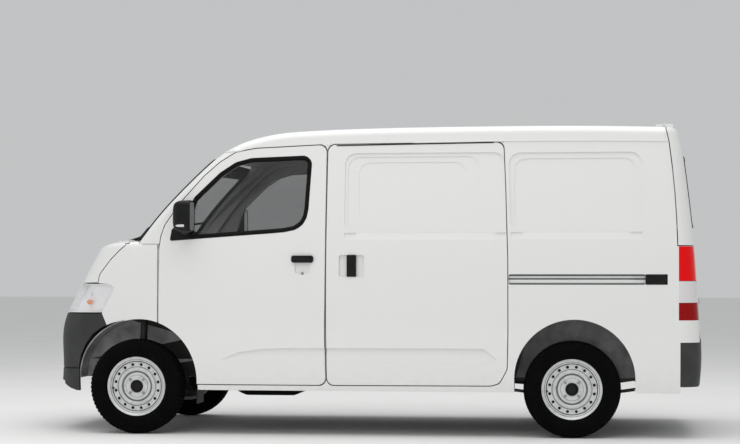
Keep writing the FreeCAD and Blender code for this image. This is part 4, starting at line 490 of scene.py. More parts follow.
# Painted shade: a darker grey for the lines of the wheel's pressed steps, where shade falls, with the
# lacquer's dust clouds over it.
GROOVE_SHADE = WheelLacquer("dusty_wheel_groove", "#6e6f70", 0.5, "#4e4c49")
CERAMIC = MouldedAbs("fired_black_ceramic", "#080809", 0.25)
FLOOR_RUBBER = ExtrudedRubber("moulded_floor_rubber", "#1b1b1c", 0.7)
CARD = MouldedPolypropylene("grained_grey_door_card", "#5c5d60", 0.6, "#66676a", cell_mm=2.5)
CLOTH = WovenCloth("woven_seat_cloth", "#2c2e32", 0.85)

NODE_FINISHES: dict[Finish, tuple[str, ...]] = {
    PAINT: (
        "body_side_left", "body_side_right", "roof_panel", "front_wing_left", "front_wing_right",
        "sliding_door_left", "sliding_door_right", "cowl", "bulkhead", "nose_panel", "front_door_left",
        "front_door_right", "tailgate", "bonnet", "floor_pan",
    ),
    BUMPER_GREY: ("rear_bumper", "front_bumper"),
    BLACK_ABS: (
        "grille", "dashboard", "steering_wheel", "mud_flaps", "door_mirror_left", "door_mirror_right",
    ),
    HOUSE_GREY: ("wheel_houses_rear",),
    HOUSE_PAINTED_LIGHT: ("wheel_houses_front",),
    FLOOR_RUBBER: ("cab_floor",),
    CHASSIS: (
        "chassis_rails", "front_suspension", "rear_axle", "leaf_springs", "prop_shaft", "exhaust",
        "fuel_tank", "knuckle_left", "knuckle_right",
    ),
    CASTING: ("engine_block",),
    RAIL: ("slide_rails",),
    RED_LENS: ("tail_lamps",),
    CLEAR_LENS: ("headlamps",),
    GLASS: ("front_door_glass_left", "front_door_glass_right", "tailgate_glass"),
    SCREEN_GLASS: ("windscreen_glass",),
    CLOTH: ("front_seats",),
    TYRE: ("tyre_front_left", "tyre_front_right", "tyre_rear_left", "tyre_rear_right", "spare_wheel"),
    WHEEL: ("rim_front_left", "rim_front_right", "rim_rear_left", "rim_rear_right"),
}


@dataclass
class PhotoCamera:
    """The camera that took the photograph, from lines fitted to it."""

    place: Point = (1.4016, -12.0, 0.9914)
    yaw_deg: float = 7.02
    lens_mm: float = 91.22
    sensor_mm: float = 36.0
    rise_share: float = 0.0671

    def build(self) -> None:
        """Add the camera and make it the scene's own."""
        data = bpy.data.cameras.new("photo_camera")
        data.lens = self.lens_mm
        data.sensor_width = self.sensor_mm
        data.shift_y = self.rise_share
        data.clip_end = 100.0
        camera = placed("photo_camera", data)
        camera.location = self.place
        camera.rotation_euler = (math.radians(90), 0, math.radians(self.yaw_deg))
        bpy.context.scene.camera = camera


@dataclass
class Studio:
    """Pale floor, pale surroundings and soft lamps."""

    floor_half: float = 60.0
    floor_colour: str = "#ececea"
    sky_colour: str = "#eff1f2"
    sky_strength: float = 0.62

    def build(self) -> None:
        """Add the floor, the surroundings and the lamps."""
        bpy.context.scene.view_settings.view_transform = "Standard"
        half = self.floor_half
        corners = [(-half, -half, 0), (half, -half, 0), (half, half, 0), (-half, half, 0)]
        paint = StudioPaint("studio_floor_paint", self.floor_colour, 0.9)
        floor = piece("studio_floor", (corners, [(0, 1, 2, 3)]), paint, None)
        world = bpy.data.worlds.new("studio_surroundings")
        bpy.context.scene.world = world
        world.use_nodes = True
        background = world.node_tree.nodes["Background"]
        background.inputs["Color"].default_value = linear(self.sky_colour)
        background.inputs["Strength"].default_value = self.sky_strength
        self.lamp("overhead_softbox", (0.0, -1.0, 7.5), (0.0, 0.0, 0.0), 9.0, 400.0, True)
        self.lamp("side_softbox", (-3.0, -11.0, 5.5), (0.0, 0.0, 1.0), 6.0, 150.0, False)

    def lamp(self, name: str, place: Point, target: Point, size: float, power: float, mirrored: bool) -> None:
        """Add one square area lamp aimed at a target.

        Args:
            name: the lamp's name.
            place: where it hangs.
            target: what it is aimed at.
            size: length of its side.
            power: in watts.
            mirrored: whether gloss shows it.
        """
        data = bpy.data.lights.new(name, "AREA")
        data.size = size
        data.energy = power
        lamp = placed(name, data)
        lamp.location = place
        lamp.visible_glossy = mirrored
        lamp.rotation_euler = (Vector(target) - Vector(place)).to_track_quat("-Z", "Y").to_euler()


def placed(name: str, data: bpy.types.ID) -> bpy.types.Object:
    """Put an object that shows this data into the scene.

    Args:
        name: the object's name.
        data: what it shows.

    Returns:
        The new object.
    """
    obj = bpy.data.objects.new(name, data)
    bpy.context.scene.collection.objects.link(obj)
    return obj


@contextmanager
def edited(mesh: bpy.types.Mesh, source: bpy.types.Mesh | None = None) -> Iterator[bmesh.types.BMesh]:
    """Lend the faces of a mesh, or of the source it is to be made from, and write them back to it.

    Args:
        mesh: the mesh that is written.
        source: the mesh that is read, or None for the same.

    Returns:
        The faces, to be changed in place.
    """
    work = bmesh.new()
    work.from_mesh(source or mesh)
    yield work
    work.to_mesh(mesh)
    work.free()


def shade(mesh: bpy.types.Mesh, sharp_deg: float) -> None:
    """Shade a mesh smooth, with edges left sharp that bend by more than an angle.

    Args:
        mesh: the mesh.
        sharp_deg: the angle in degrees.
    """
    for polygon in mesh.polygons:
        polygon.use_smooth = True
    mesh.set_sharp_from_angle(angle=math.radians(sharp_deg))


def piece(name: str, net: Net, finish: Finish, body: str | None, sharp_deg: float = 35.0) -> bpy.types.Object:
    """Make one mesh piece with its finish and let it ride.

    Args:
        name: the piece's name.
        net: its points and faces, in the van's frame.
        finish: what the piece is made of.
        body: the CAD body it rides on, or None for the stage.
        sharp_deg: edges that bend more than this stay sharp.

    Returns:
        The new object.
    """
    mesh = bpy.data.meshes.new(name)
    mesh.from_pydata([tuple(p) for p in net[0]], [], net[1])
    return mesh_piece(name, mesh, finish, body, sharp_deg)


def mesh_piece(name: str, mesh: bpy.types.Mesh, finish: Finish, body: str | None,
               sharp_deg: float) -> bpy.types.Object:
    """Turn a ready mesh into a piece and let it ride.

    Args:
        name: the piece's name.
        mesh: the ready mesh.
        finish: what the piece is made of.
        body: the CAD body it rides on, or None for the stage.
        sharp_deg: edges that bend more than this stay sharp.

    Returns:
        The new object.
    """
    with edited(mesh) as work:
        bmesh.ops.remove_doubles(work, verts=work.verts, dist=1e-6)
        bmesh.ops.recalc_face_normals(work, faces=work.faces)
    shade(mesh, sharp_deg)
    mesh.materials.append(finish.material())
    obj = placed(name, mesh)
    if body:
        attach(obj, body)
    return obj


def applied(obj: bpy.types.Object) -> bpy.types.Mesh:
    """The object's mesh with its modifiers worked in."""
    graph = bpy.context.evaluated_depsgraph_get()
    return bpy.data.meshes.new_from_object(obj.evaluated_get(graph))


def angles(count: int) -> list[float]:
    """Even steps round a circle, in radians."""
    return [2 * math.pi * k / count for k in range(count)]


def woven(rows: list[list[Point]], closed: bool = False, ringed: bool = False) -> Net:
    """Join rows of equal length into one net.

    Args:
        rows: points of each row, in order.
        closed: whether the last row meets the first.
        ringed: whether each row meets its own start.

    Returns:
        Points and faces.
    """
    count = len(rows[0])
    faces = []
    for k in range(len(rows) if closed else len(rows) - 1):
        here, after = k * count, (k + 1) % len(rows) * count
        for i in range(count if ringed else count - 1):
            j = (i + 1) % count
            faces.append((here + i, here + j, after + j, after + i))
    return [p for row in rows for p in row], faces


def tube(rings: list[list[Point]], closed: bool) -> Net:
    """Join rings into a skin; where the last doesn't meet the first, both ends get a cap.

    Args:
        rings: points of each ring, in order.
        closed: whether the last ring meets the first.

    Returns:
        Points and faces.
    """
    points, faces = woven(rings, closed, True)
    if not closed:
        count, last = len(rings[0]), len(points) - 1
        faces += [tuple(range(count)), tuple(range(last, last - count, -1))]
    return points, faces


def joined(*nets: Net) -> Net:
    """Put several nets together as one, in the order given.

    Args:
        nets: points and faces of each.

    Returns:
        Points and faces.
    """
    points, faces = [], []
    for more, sides in nets:
        faces += [tuple(i + len(points) for i in side) for side in sides]
        points += more
    return points, faces


def spun(centre: Point, outward: int, angle: float, radius: float, out: float) -> Point:
    """Place at an angle, a radius and a distance outwards from a centre, about the Y axis."""
    x, y, z = centre
    return x + radius * math.cos(angle), y + outward * out, z + radius * math.sin(angle)


def lathe(profile: list[Pair], centre: Point, outward: int, turns: int) -> Net:
    """Turn a closed profile of (distance outwards, radius) about the Y axis through a centre."""
    return tube([[spun(centre, outward, angle, radius, out) for out, radius in profile]
                 for angle in angles(turns)], True)


def sweep(path: list[Vector], ups: list[Vector], section: list[Pair],
          sizes: Sequence[float] = ()) -> Net:
    """Carry a section along an open path.

    Args:
        path: places along it.
        ups: the section's up direction at each place.
        section: (sideways, up) corners.
        sizes: scale of the section at each place, or none for full size.

    Returns:
        Points and faces.
    """
    rings = []
    for k, place in enumerate(path):
        along = (path[min(k + 1, len(path) - 1)] - path[max(k - 1, 0)]).normalized()
        across = along.cross(ups[k]).normalized()
        up = across.cross(along).normalized()
        scale = sizes[k] if sizes else 1.0
        rings.append([tuple(place + across * (a * scale) + up * (b * scale)) for a, b in section])
    return tube(rings, False)


def oval(half_width: float, half_height: float, steps: int) -> list[Pair]:
    """Corners of an oval section."""
    return [(half_width * math.cos(angle), half_height * math.sin(angle)) for angle in angles(steps)]


@dataclass
class Skin:
    """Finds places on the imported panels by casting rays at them."""

    nodes: tuple[str, ...]
    trees: list = field(default_factory=list)

    def __post_init__(self) -> None:
        """Build a search tree for each node."""
        for name in self.nodes:
            mesh = frame["nodes"][name].data
            corners = [v.co.copy() for v in mesh.vertices]
            self.trees.append(BVHTree.FromPolygons(corners, [tuple(p.vertices) for p in mesh.polygons]))

    def hit(self, start: Point, toward: Point) -> tuple[Vector, Vector] | None:
        """First place on the panels that a ray meets, with the normal there.

        Args:
            start: where the ray starts.
            toward: its direction.

        Returns:
            Place and normal, or None if it meets no panel.
        """
        best = None
        for tree in self.trees:
            place, normal, _, span = tree.ray_cast(Vector(start), Vector(toward))
            if place is not None and (best is None or span < best[2]):
                best = (place, normal, span)
        return None if best is None else (best[0], best[1])

    def flank(self, x: float, z: float, side: Side) -> tuple[Vector, Vector]:
        """Place and normal on a flank at X and Z.

        Args:
            x: place along the van.
            z: height.
            side: the flank.

        Returns:
            Place and normal.
        """
        found = self.hit((x, side.value * 2.0, z), (0, -side.value, 0))
        if found is None:
            raise ValueError(f"no panel at x {x:.3f}, z {z:.3f}")
        return found


@dataclass
class BodyDressing:
    """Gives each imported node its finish, and marks off what is moulded in one with a panel."""

    handle: Point = (-0.385, 0.0, 1.067)
    handle_half: Pair = (0.0673, 0.0218)
    lock: Pair = (-0.385, 0.98)
    lock_radius: float = 0.0095
    slide_handle: Point = (-0.087, 0.0, 1.026)
    slide_handle_half: Pair = (0.0283, 0.0663)
    rail_cap: Point = (1.7279, 0.0, 0.945)
    rail_cap_half: Pair = (0.0646, 0.0315)
    tailgate_grip: Point = (1.8, 0.0, 0.81)
    tailgate_grip_half: Pair = (0.1305, 0.0172)
    arch_top: float = 0.60
    arch_inner: float = 0.74
    # Painted shade: the front wheel house behind this X and the rear one below this height get the dark
    # chassis paint, deep in the arches where shade falls.
    dark_from: float = -1.40
    dark_below: float = 0.45
    floor_level: float = 0.605

    def build(self) -> None:
        """Dress every node, then the handles, the lock, the rail's bed and what is under the floor."""
        for finish, names in NODE_FINISHES.items():
            for name in names:
                mesh = frame["nodes"][name].data
                mesh.materials.clear()
                mesh.materials.append(finish.material())
        for side in SIDES:
            door, flank = f"front_door_{side.label}", f"body_side_{side.label}"
            self.mark(door, BLACK_ABS, lambda c: self.within(c, self.handle, self.handle_half))
            self.mark(door, ZINC, self.on_lock)
            self.mark(f"sliding_door_{side.label}", BLACK_ABS,
                      lambda c: self.within(c, self.slide_handle, self.slide_handle_half))
            self.mark(flank, BLACK_ABS,
                      lambda c: self.within(c, self.rail_cap, self.rail_cap_half) and abs(c.y) > 0.8)
            self.mark(flank, CHASSIS, lambda c: c.z < self.arch_top and abs(c.y) < self.arch_inner)
        # Painted shade in the wheel houses: dark chassis paint behind the front axle and low in the rear arch.
        self.mark("wheel_houses_front", CHASSIS, lambda c: c.x > self.dark_from)
        self.mark("wheel_houses_rear", CHASSIS, lambda c: c.z < self.dark_below)
        self.mark("floor_pan", CHASSIS, lambda c: c.z < self.floor_level)
        rear, _, level = self.tailgate_grip
        wide, high = self.tailgate_grip_half
        self.mark("tailgate", BLACK_ABS, lambda c: c.x > rear and abs(c.y) < wide and abs(c.z - level) < high)

    def mark(self, node: str, finish: Finish, test: Callable[[Vector], bool]) -> None:
        """Give the faces of a node whose centres pass a test another finish.

        Args:
            node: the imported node.
            finish: what those faces are made of.
            test: takes a face's centre and says whether it belongs.
        """
        mesh = frame["nodes"][node].data
        mesh.materials.append(finish.material())
        number = len(mesh.materials) - 1
        for polygon in mesh.polygons:
            if test(polygon.center):
                polygon.material_index = number

    def on_lock(self, spot: Vector) -> bool:
        """Whether a spot lies on the front door's lock."""
        return math.hypot(spot.x - self.lock[0], spot.z - self.lock[1]) < self.lock_radius

    def within(self, spot: Vector, middle: Point, half: Pair) -> bool:
        """Whether a spot lies in a rectangle of the side view."""
        return abs(spot.x - middle[0]) < half[0] and abs(spot.z - middle[2]) < half[1]


class View(Enum):
    """A direction in which an outline is drawn, and how it lies in the van's frame."""

    LEFT = "left"
    RIGHT = "right"
    FRONT = "front"
    REAR = "rear"

    def ray(self, u: float, v: float) -> tuple[Point, Point]:
        """Start and direction of the line of sight through a place of the view.

        Args:
            u: place across the view.
            v: height.

        Returns:
            Start and direction.
        """
        return {
            View.LEFT: ((u, -2.0, v), (0.0, 1.0, 0.0)), View.RIGHT: ((u, 2.0, v), (0.0, -1.0, 0.0)),
            View.FRONT: ((-4.0, u, v), (1.0, 0.0, 0.0)), View.REAR: ((4.0, u, v), (-1.0, 0.0, 0.0)),
        }[self]


def smooth_outline(corners: list[Pair], radius: float, spacing: float) -> list[tuple[Pair, Pair]]:
    """Round a closed outline's corners and walk along it in even steps.

    Args:
        corners: corners in metres, either way round.
        radius: radius of the rounded corners.
        spacing: length of a step.

    Returns:
        Places on the outline, each with the unit normal that points inwards.
    """
    track: list[Vector] = []
    count = len(corners)
    area = sum(corners[i][0] * corners[(i + 1) % count][1] - corners[(i + 1) % count][0] * corners[i][1]
               for i in range(count))
    for i in range(count):
        here = Vector(corners[i])
        back, ahead = Vector(corners[i - 1]) - here, Vector(corners[(i + 1) % count]) - here
        opening = back.angle(ahead)
        reach = min(radius / math.tan(opening / 2), 0.45 * back.length, 0.45 * ahead.length)
        start, end = here + back.normalized() * reach, here + ahead.normalized() * reach
        for step in range(9):
            t = step / 8
            track.append(start * (1 - t) ** 2 + here * 2 * t * (1 - t) + end * t * t)
    lengths = [0.0]
    for i in range(len(track)):
        lengths.append(lengths[-1] + (track[(i + 1) % len(track)] - track[i]).length)
    steps = max(12, round(lengths[-1] / spacing))
    places, segment = [], 0
    for k in range(steps):
        goal = lengths[-1] * k / steps
        while lengths[segment + 1] < goal:
            segment += 1
        span = lengths[segment + 1] - lengths[segment]
        t = (goal - lengths[segment]) / span if span else 0.0
        places.append(track[segment].lerp(track[(segment + 1) % len(track)], t))
    result = []
    turn = 1 if area > 0 else -1
    for k in range(steps):
        along = (places[(k + 1) % steps] - places[k - 1]).normalized()
        result.append(((places[k].x, places[k].y), (-along.y * turn, along.x * turn)))
    return result


@dataclass
class WindowSeals:
    """Black rubber round the door windows, the windscreen and the rear window."""

    door_outline: tuple[Pair, ...] = (
        (-1.1366, 1.1866), (-0.600, 1.2240), (-0.500, 1.2320), (-0.432, 1.2460), (-0.388, 1.2760),
        (-0.364, 1.3180), (-0.354, 1.3700), (-0.337, 1.6600), (-0.372, 1.6930), (-0.7089, 1.6800),
        (-0.8029, 1.6550), (-0.900, 1.5920), (-1.0610, 1.4390),
    )
    door_lip: Pair = (0.024, 0.003)
    screen_outline: tuple[Pair, ...] = (
        (0.7259, 1.2046), (0.6119, 1.6796), (-0.6119, 1.6796), (-0.7259, 1.2046),
    )
    rear_outline: tuple[Pair, ...] = (
        (0.5994, 1.2635), (0.5495, 1.6815), (-0.5495, 1.6815), (-0.5994, 1.2635),
    )
    screen_lip: Pair = (0.022, 0.010)
    rear_lip: Pair = (0.022, 0.008)
    screen_lift: float = 0.007
    band_insets: tuple[float, ...] = (0.012, 0.030, 0.050, 0.062)
    corner: float = 0.045
    spacing: float = 0.016
    bead: float = 0.004
    seat: float = 0.009

    def build(self) -> None:
        """Make the four seals."""
        for side, view in ((Side.LEFT, View.LEFT), (Side.RIGHT, View.RIGHT)):
            door = f"front_door_{side.label}"
            self.seal(f"door_window_seal_{side.label}", self.door_outline, view, self.door_lip, Skin((door,)),
                      Skin((f"front_door_glass_{side.label}",)), door)
        shell = Skin(("roof_panel", "body_side_left", "body_side_right", "cowl", "bonnet", "bulkhead"))
        self.seal("windscreen_seal", self.screen_outline, View.FRONT, self.screen_lip, shell,
                  Skin(("windscreen_glass",)), "body", self.screen_lift)
        self.band("windscreen_band", self.screen_outline)
        self.seal("rear_window_seal", self.rear_outline, View.REAR, self.rear_lip, Skin(("tailgate",)),
                  Skin(("tailgate_glass",)), "tailgate")

    def band(self, name: str, outline: tuple[Pair, ...]) -> None:
        """Lay the black fired-on band along the windscreen's edge, just over the glass.

        Args:
            name: the piece's name.
            outline: corners of the glass from the front.
        """
        pane = Skin(("windscreen_glass",))
        rings = []
        last = Vector((-1.2, 0.0, 1.4))
        for (u, v), (n, m) in smooth_outline(list(outline), self.corner, self.spacing):
            ring = []
            for inset in self.band_insets:
                found = pane.hit(*View.FRONT.ray(u + n * inset, v + m * inset))
                last = found[0] if found else last
                ring.append((last.x - MM, u + n * inset, v + m * inset))
            rings.append(ring)
        piece(name, woven(rings, True), CERAMIC, "body", 50)

    def seal(self, name: str, outline: tuple[Pair, ...], view: View, lip: Pair, panel: Skin, glass: Skin,
             body: str, lift: float = 0.0) -> None:
        """Lay one seal over the joint of panel and glass.

        Args:
            name: the piece's name.
            outline: corners of the glass in the view.
            view: the direction that the outline is drawn in.
            lip: how far it reaches over the glass and over the panel.
            panel: the panels outside the outline.
            glass: the pane inside it.
            body: the body that the seal rides on.
            lift: how far its crown stands up over the panel, beyond that of a flush seal.
        """
        width, overlap = lip
        section = ((-overlap, -0.003), (-overlap, 0.0004), (-overlap + 0.002, 0.0022), (0.3 * width, 0.0030),
                   (0.75 * width, 0.0012), (width - 0.001, -0.0050), (width, -0.0092), (0.4 * width, -0.0092),
                   (0.1 * width, -0.003))
        reach = (-overlap - self.bead, width + self.bead)
        span = width + overlap + 2 * self.bead
        rings = []
        levels = [0.0, 0.0]
        for (u, v), (n, m) in smooth_outline(list(outline), self.corner, self.spacing):
            _, toward = view.ray(u, v)
            axis = 1 if toward[1] else 0
            sign = toward[axis]
            for number, skin in enumerate((panel, glass)):
                start, _ = view.ray(u + n * reach[number], v + m * reach[number])
                found = skin.hit(start, toward)
                levels[number] = found[0][axis] if found else levels[number]
            ring = []
            for offset, proud in section:
                share = (offset + overlap + self.bead) / span
                level = levels[0] * (1 - share) + (levels[1] - sign * self.seat) * share
                place = [0.0, 0.0, v + m * offset]
                place[1 - axis] = u + n * offset
                place[axis] = level - sign * (proud + (lift if proud > 0 else 0.0))
                ring.append(tuple(place))
            rings.append(ring)
        piece(name, tube(rings, True), SEAL, body, 50)


@dataclass
class Tyre:
    """Tyre with raised rings on the wall, shoulder blocks and four tread ribs."""

    centre: Point
    outward: int
    body: str
    node: str
    pitches: int = 68
    groove: float = 0.0055

    def profile(self) -> list[tuple[float, float, bool]]:
        """Half of the section, bead to middle: place across, radius, and whether a cross groove cuts it.

        Returns:
            Corners of the half section.
        """
        wall = (
            (0.0600, 0.1805), (0.0655, 0.1850), (0.0690, 0.1905), (0.0740, 0.1950), (0.0765, 0.1985),
            (0.0772, 0.2010), (0.0795, 0.2080), (0.0812, 0.2170), (0.0823, 0.2260), (0.0827, 0.2330),
            (0.0829, 0.2335), (0.0829, 0.2350), (0.0824, 0.2355), (0.0817, 0.2440), (0.0803, 0.2530),
            (0.0801, 0.2534), (0.0796, 0.2570), (0.0785, 0.2625), (0.0765, 0.2680), (0.0735, 0.2732),
        )
        shoulder = ((0.0690, 0.2790), (0.0640, 0.2832), (0.0585, 0.2858), (0.0500, 0.2874), (0.0420, 0.2881))
        furrow = ((0.0405, 0.2808), (0.0355, 0.2808), (0.0340, 0.2886))
        rib = ((0.0180, 0.2896), (0.0165, 0.2815), (0.0115, 0.2815), (0.0100, 0.2899))
        return [(out, radius, cut) for line, cut in (
            (wall, False), (shoulder, True), (furrow, False), (((0.0240, 0.2893),), True), (rib, False),
            (((0.0040, 0.2900),), True),
        ) for out, radius in line]

    def build(self) -> None:
        """Turn the section, sinking the cross grooves into it."""
        half = self.profile()
        section = half + [(-out, radius, cut) for out, radius, cut in reversed(half)]
        rings = []
        for step, angle in enumerate(angles(self.pitches * 4)):
            sunk = self.groove if step % 4 == 3 else 0.0
            rings.append([spun(self.centre, self.outward, angle, radius - (sunk if cut else 0.0), out)
                          for out, radius, cut in section])
        tyre = piece(self.node + "_rubber", tube(rings, True), TYRE, self.body, 38)
        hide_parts(self.node)


@dataclass
class PressedWheel:
    """Pressed steel wheel with sixteen vents, black centre cap, wheel nuts and valve."""

    centre: Point
    outward: int
    body: str
    label: str
    vents: int = 16
    vent_radius: float = 0.0098
    vent_circle: float = 0.1345
    vent_face: float = 0.0420
    steps: int = 6
    hub_face: float = 0.0455
    nut_circle: float = 0.0570
    nuts: int = 4
    valve_spot: Pair = (-0.1475, -0.012)
    # Painted shade: the well band gets the dark chassis paint and the step lines the darker groove grey, for
    # the shade in these hollows.
    well: Pair = (0.1500, 0.1548)
    lines: tuple[Pair, ...] = ((0.1612, 0.1650), (0.0850, 0.0945), (0.1172, 0.1202), (0.0675, 0.0692))
    well_out: float = 0.012
    lines_out: float = 0.030

    def rim(self) -> list[Pair]:
        """Outer face from the flange's lip to the vent band: radius, distance from the wheel's middle.

        Returns:
            Corners from the lip inwards.
        """
        return [
            (0.1822, 0.0535), (0.1825, 0.0575), (0.1815, 0.0588), (0.1790, 0.0586), (0.1765, 0.0560),
            (0.1700, 0.0500), (0.1648, 0.0482), (0.1632, 0.0470), (0.1618, 0.0448), (0.1600, 0.0440),
            (0.1560, 0.0432), (0.1545, 0.0415), (0.1538, 0.0150), (0.1508, 0.0150), (0.1502, 0.0400),
            (0.1495, 0.0412), (0.1480, 0.0415),
        ]

    def disc(self) -> list[Pair]:
        """Outer face from the vent band to the hub.

        Returns:
            Corners from the vent band inwards.
        """
        return [
            (0.1210, 0.0425), (0.1195, 0.0408), (0.1175, 0.0408), (0.1160, 0.0430), (0.1120, 0.0462),
            (0.1060, 0.0486), (0.1000, 0.0482), (0.0960, 0.0455), (0.0940, 0.0400), (0.0915, 0.0365),
            (0.0875, 0.0358), (0.0845, 0.0375), (0.0825, 0.0405), (0.0780, 0.0418), (0.0690, 0.0420),
            (0.0670, 0.0445), (0.0640, 0.0455), (0.0460, 0.0460), (0.0400, 0.0460), (0.0385, 0.0440),
            (0.0380, 0.0200),
        ]

    def barrel(self) -> list[Pair]:
        """Rim well under the tyre.

        Returns:
            Corners from the outer bead to the inner one.
        """
        return [
            (0.1812, 0.0570), (0.1780, 0.0470), (0.1740, 0.0420), (0.1700, 0.0260), (0.1600, 0.0120),
            (0.1585, -0.0200), (0.1680, -0.0420), (0.1740, -0.0520), (0.1820, -0.0580),
        ]

    def turned(self, profile: list[Pair]) -> Net:
        """Turn an open profile about the axle."""
        return woven([[self.at(angle, radius, out) for radius, out in profile]
                      for angle in angles(self.vents * self.steps)], True)

    def at(self, angle: float, radius: float, out: float) -> Point:
        """Place at an angle, a radius and a distance outwards."""
        return spun(self.centre, self.outward, angle, radius, out)

    def vent_band(self) -> Net:
        """Flat band with a round vent in each sector, its edge turned inwards.

        Returns:
            Points and faces.
        """
        outer, inner = self.rim()[-1], self.disc()[0]
        half = math.pi / self.vents
        shares = [k / self.steps for k in range(self.steps)]
        bands = []
        for number in range(self.vents):
            middle = 2 * half * (number + 0.5)
            border = [(middle - half + 2 * half * t, outer) for t in shares]
            border += [(middle + half, tuple(a + (b - a) * t for a, b in zip(outer, inner))) for t in shares]
            border += [(middle + half - 2 * half * t, inner) for t in shares]
            border += [(middle - half, tuple(a + (b - a) * t for a, b in zip(inner, outer))) for t in shares]
            mid = Vector((self.vent_circle * math.cos(middle), self.vent_circle * math.sin(middle)))
            hole = []
            for angle, (radius, _) in border:
                place = Vector((radius * math.cos(angle), radius * math.sin(angle)))
                hole.append(mid + (place - mid).normalized() * self.vent_radius)
            rows = [[self.at(angle, radius, out) for angle, (radius, out) in border]]
            for drop, shrink in ((0.0, 1.0), (0.0015, 0.91), (0.0050, 0.91)):
                spots = [mid + (spot - mid) * shrink for spot in hole]
                rows.append([(self.centre[0] + p.x, self.centre[1] + self.outward * (self.vent_face - drop),
                              self.centre[2] + p.y) for p in spots])
            bands.append(woven(rows, False, True))
        return joined(*bands)

    def build(self) -> None:
        """Make the wheel, what shows through its vents, its cap, the nuts and the valve."""
        self.wheel()
        face = self.hub_face
        shade_ring = [(0.0250, 0.1560), (0.0265, 0.1560), (0.0265, 0.1490), (0.0250, 0.1490)]
        drum = [(0.0080, 0.1480), (0.0180, 0.1480), (0.0200, 0.1460), (0.0200, 0.0600), (0.0080, 0.0600)]
        cap = [(face + out, radius) for out, radius in (
            (-0.012, 0.0375), (0.003, 0.0375), (0.0065, 0.0360), (0.0075, 0.0300), (0.0060, 0.0285),
            (0.0090, 0.0265), (0.0110, 0.0180), (0.0118, 0.0080), (0.0120, 0.0004), (-0.012, 0.0004))]
        nut = [(face + out, radius) for out, radius in (
            (-0.003, 0.0100), (0.001, 0.0100), (0.002, 0.0080), (0.008, 0.0080), (0.010, 0.0065),
            (0.010, 0.0003), (-0.003, 0.0003))]
        stem = [(0.030, 0.0060), (0.044, 0.0055), (0.050, 0.0035), (0.056, 0.0032), (0.057, 0.0042),
                (0.062, 0.0042), (0.063, 0.0030), (0.063, 0.0003), (0.030, 0.0003)]
        seats = [self.at(math.pi / 4 + angle, self.nut_circle, 0.0) for angle in angles(self.nuts)]
        x, z = self.valve_spot
        foot = (self.centre[0] + x, self.centre[1], self.centre[2] + z)
        for name, net, finish, sharp in (
            ("well_shade", lathe(shade_ring, self.centre, self.outward, 96), CHASSIS, 40),
            ("brake_drum", lathe(drum, self.centre, self.outward, 64), CHASSIS, 40),
            ("centre_cap", lathe(cap, self.centre, self.outward, 48), BLACK_ABS, 40),
            ("wheel_nuts", joined(*(lathe(nut, seat, self.outward, 6) for seat in seats)), ZINC, 30),
            ("valve", lathe(stem, foot, self.outward, 16), SEAL, 35),
        ):
            piece(f"{name}_{self.label}", net, finish, self.body, sharp)

    def wheel(self) -> None:
        """Make the pressing, with painted shade in its dark well and along the lines of its steps."""
        rim, disc, barrel = (self.turned(line) for line in (self.rim(), self.disc(), self.barrel()))
        net = joined(rim, self.vent_band(), disc, barrel)
        wheel = piece(f"pressed_wheel_{self.label}", net, WHEEL, self.body, 50)
        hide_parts(f"rim_{self.label}")
        wheel.data.materials.append(CHASSIS.material())
        wheel.data.materials.append(GROOVE_SHADE.material())
        for polygon in wheel.data.polygons:
            spot = polygon.center
            radius = math.hypot(spot.x - self.centre[0], spot.z - self.centre[2])
            out = (spot.y - self.centre[1]) * self.outward
            # Painted shade: faces in the well get the dark chassis paint, faces on the step lines the groove
            # grey.
            if out > self.well_out and self.well[0] < radius < self.well[1]:
                polygon.material_index = 1
            elif out > self.lines_out and any(low < radius < high for low, high in self.lines):
                polygon.material_index = 2


@dataclass
class SlideRails:
    """Drawn channel rails that the sliding doors run in."""

    start: float = 0.8562
    end: float = 1.6637
    low: float = 0.9143
    high: float = 0.9757

    def cap(self, side: Side) -> None:
        """Press a black cap with a round end into the groove behind the rail.

        Args:
            side: the flank.
        """
        skin = Skin((f"body_side_{side.label}",))
        middle = (self.low + self.high) / 2
        ahead, _ = skin.flank(self.end + 0.06, self.high + 0.02, side)
        half = (self.high - self.low) / 2
        nose = [(self.end + 0.120, middle - half * 0.62), (self.end + 0.128, middle),
                (self.end + 0.120, middle + half * 0.62)]
        corners = [(self.end - 0.001, middle - half), (self.end + 0.100, middle - half), *nose,
                   (self.end + 0.100, middle + half), (self.end - 0.001, middle + half)]
        rings = []
        edge = ((0.0, -0.0125), (0.0, 0.0015), (0.002, 0.0040), (0.006, 0.0055), (0.014, 0.0061))
        for inset, proud in edge:
            rings.append([(u + n * inset, ahead.y + side.value * proud, v + m * inset)
                          for (u, v), (n, m) in smooth_outline(corners, 0.012, 0.004)])
        piece(f"rail_end_cap_{side.label}", tube(rings, False), BLACK_ABS, "body")

    def build(self) -> None:
        """Draw the channel section along each flank and cap its end."""
        height = self.high - self.low
        section = [
            (-0.016, 0.0), (0.0005, 0.0), (0.0025, 0.03), (0.0025, 0.12), (0.0005, 0.16),
            (-0.0090, 0.18), (-0.0090, 0.42), (-0.0060, 0.47), (-0.0020, 0.49), (-0.0015, 0.62),
            (-0.0060, 0.65), (-0.0090, 0.68), (-0.0090, 0.80), (0.0000, 0.83), (0.0028, 0.86),
            (0.0028, 0.96), (0.0005, 1.0), (-0.016, 1.0),
        ]
        for side in SIDES:
            skin = Skin((f"body_side_{side.label}", f"sliding_door_{side.label}", "slide_rails"))
            rings = []
            for k in range(28):
                x = self.start + (self.end - self.start) * k / 27
                place, _ = skin.flank(x, (self.low + self.high) / 2, side)
                rings.append([(x, place.y + side.value * (out - 0.001), self.low + height * share)
                              for out, share in section])
            rail = piece(f"drawn_slide_rail_{side.label}", tube(rings, False), RAIL, "body")
            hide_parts("slide_rails")
            self.cap(side)


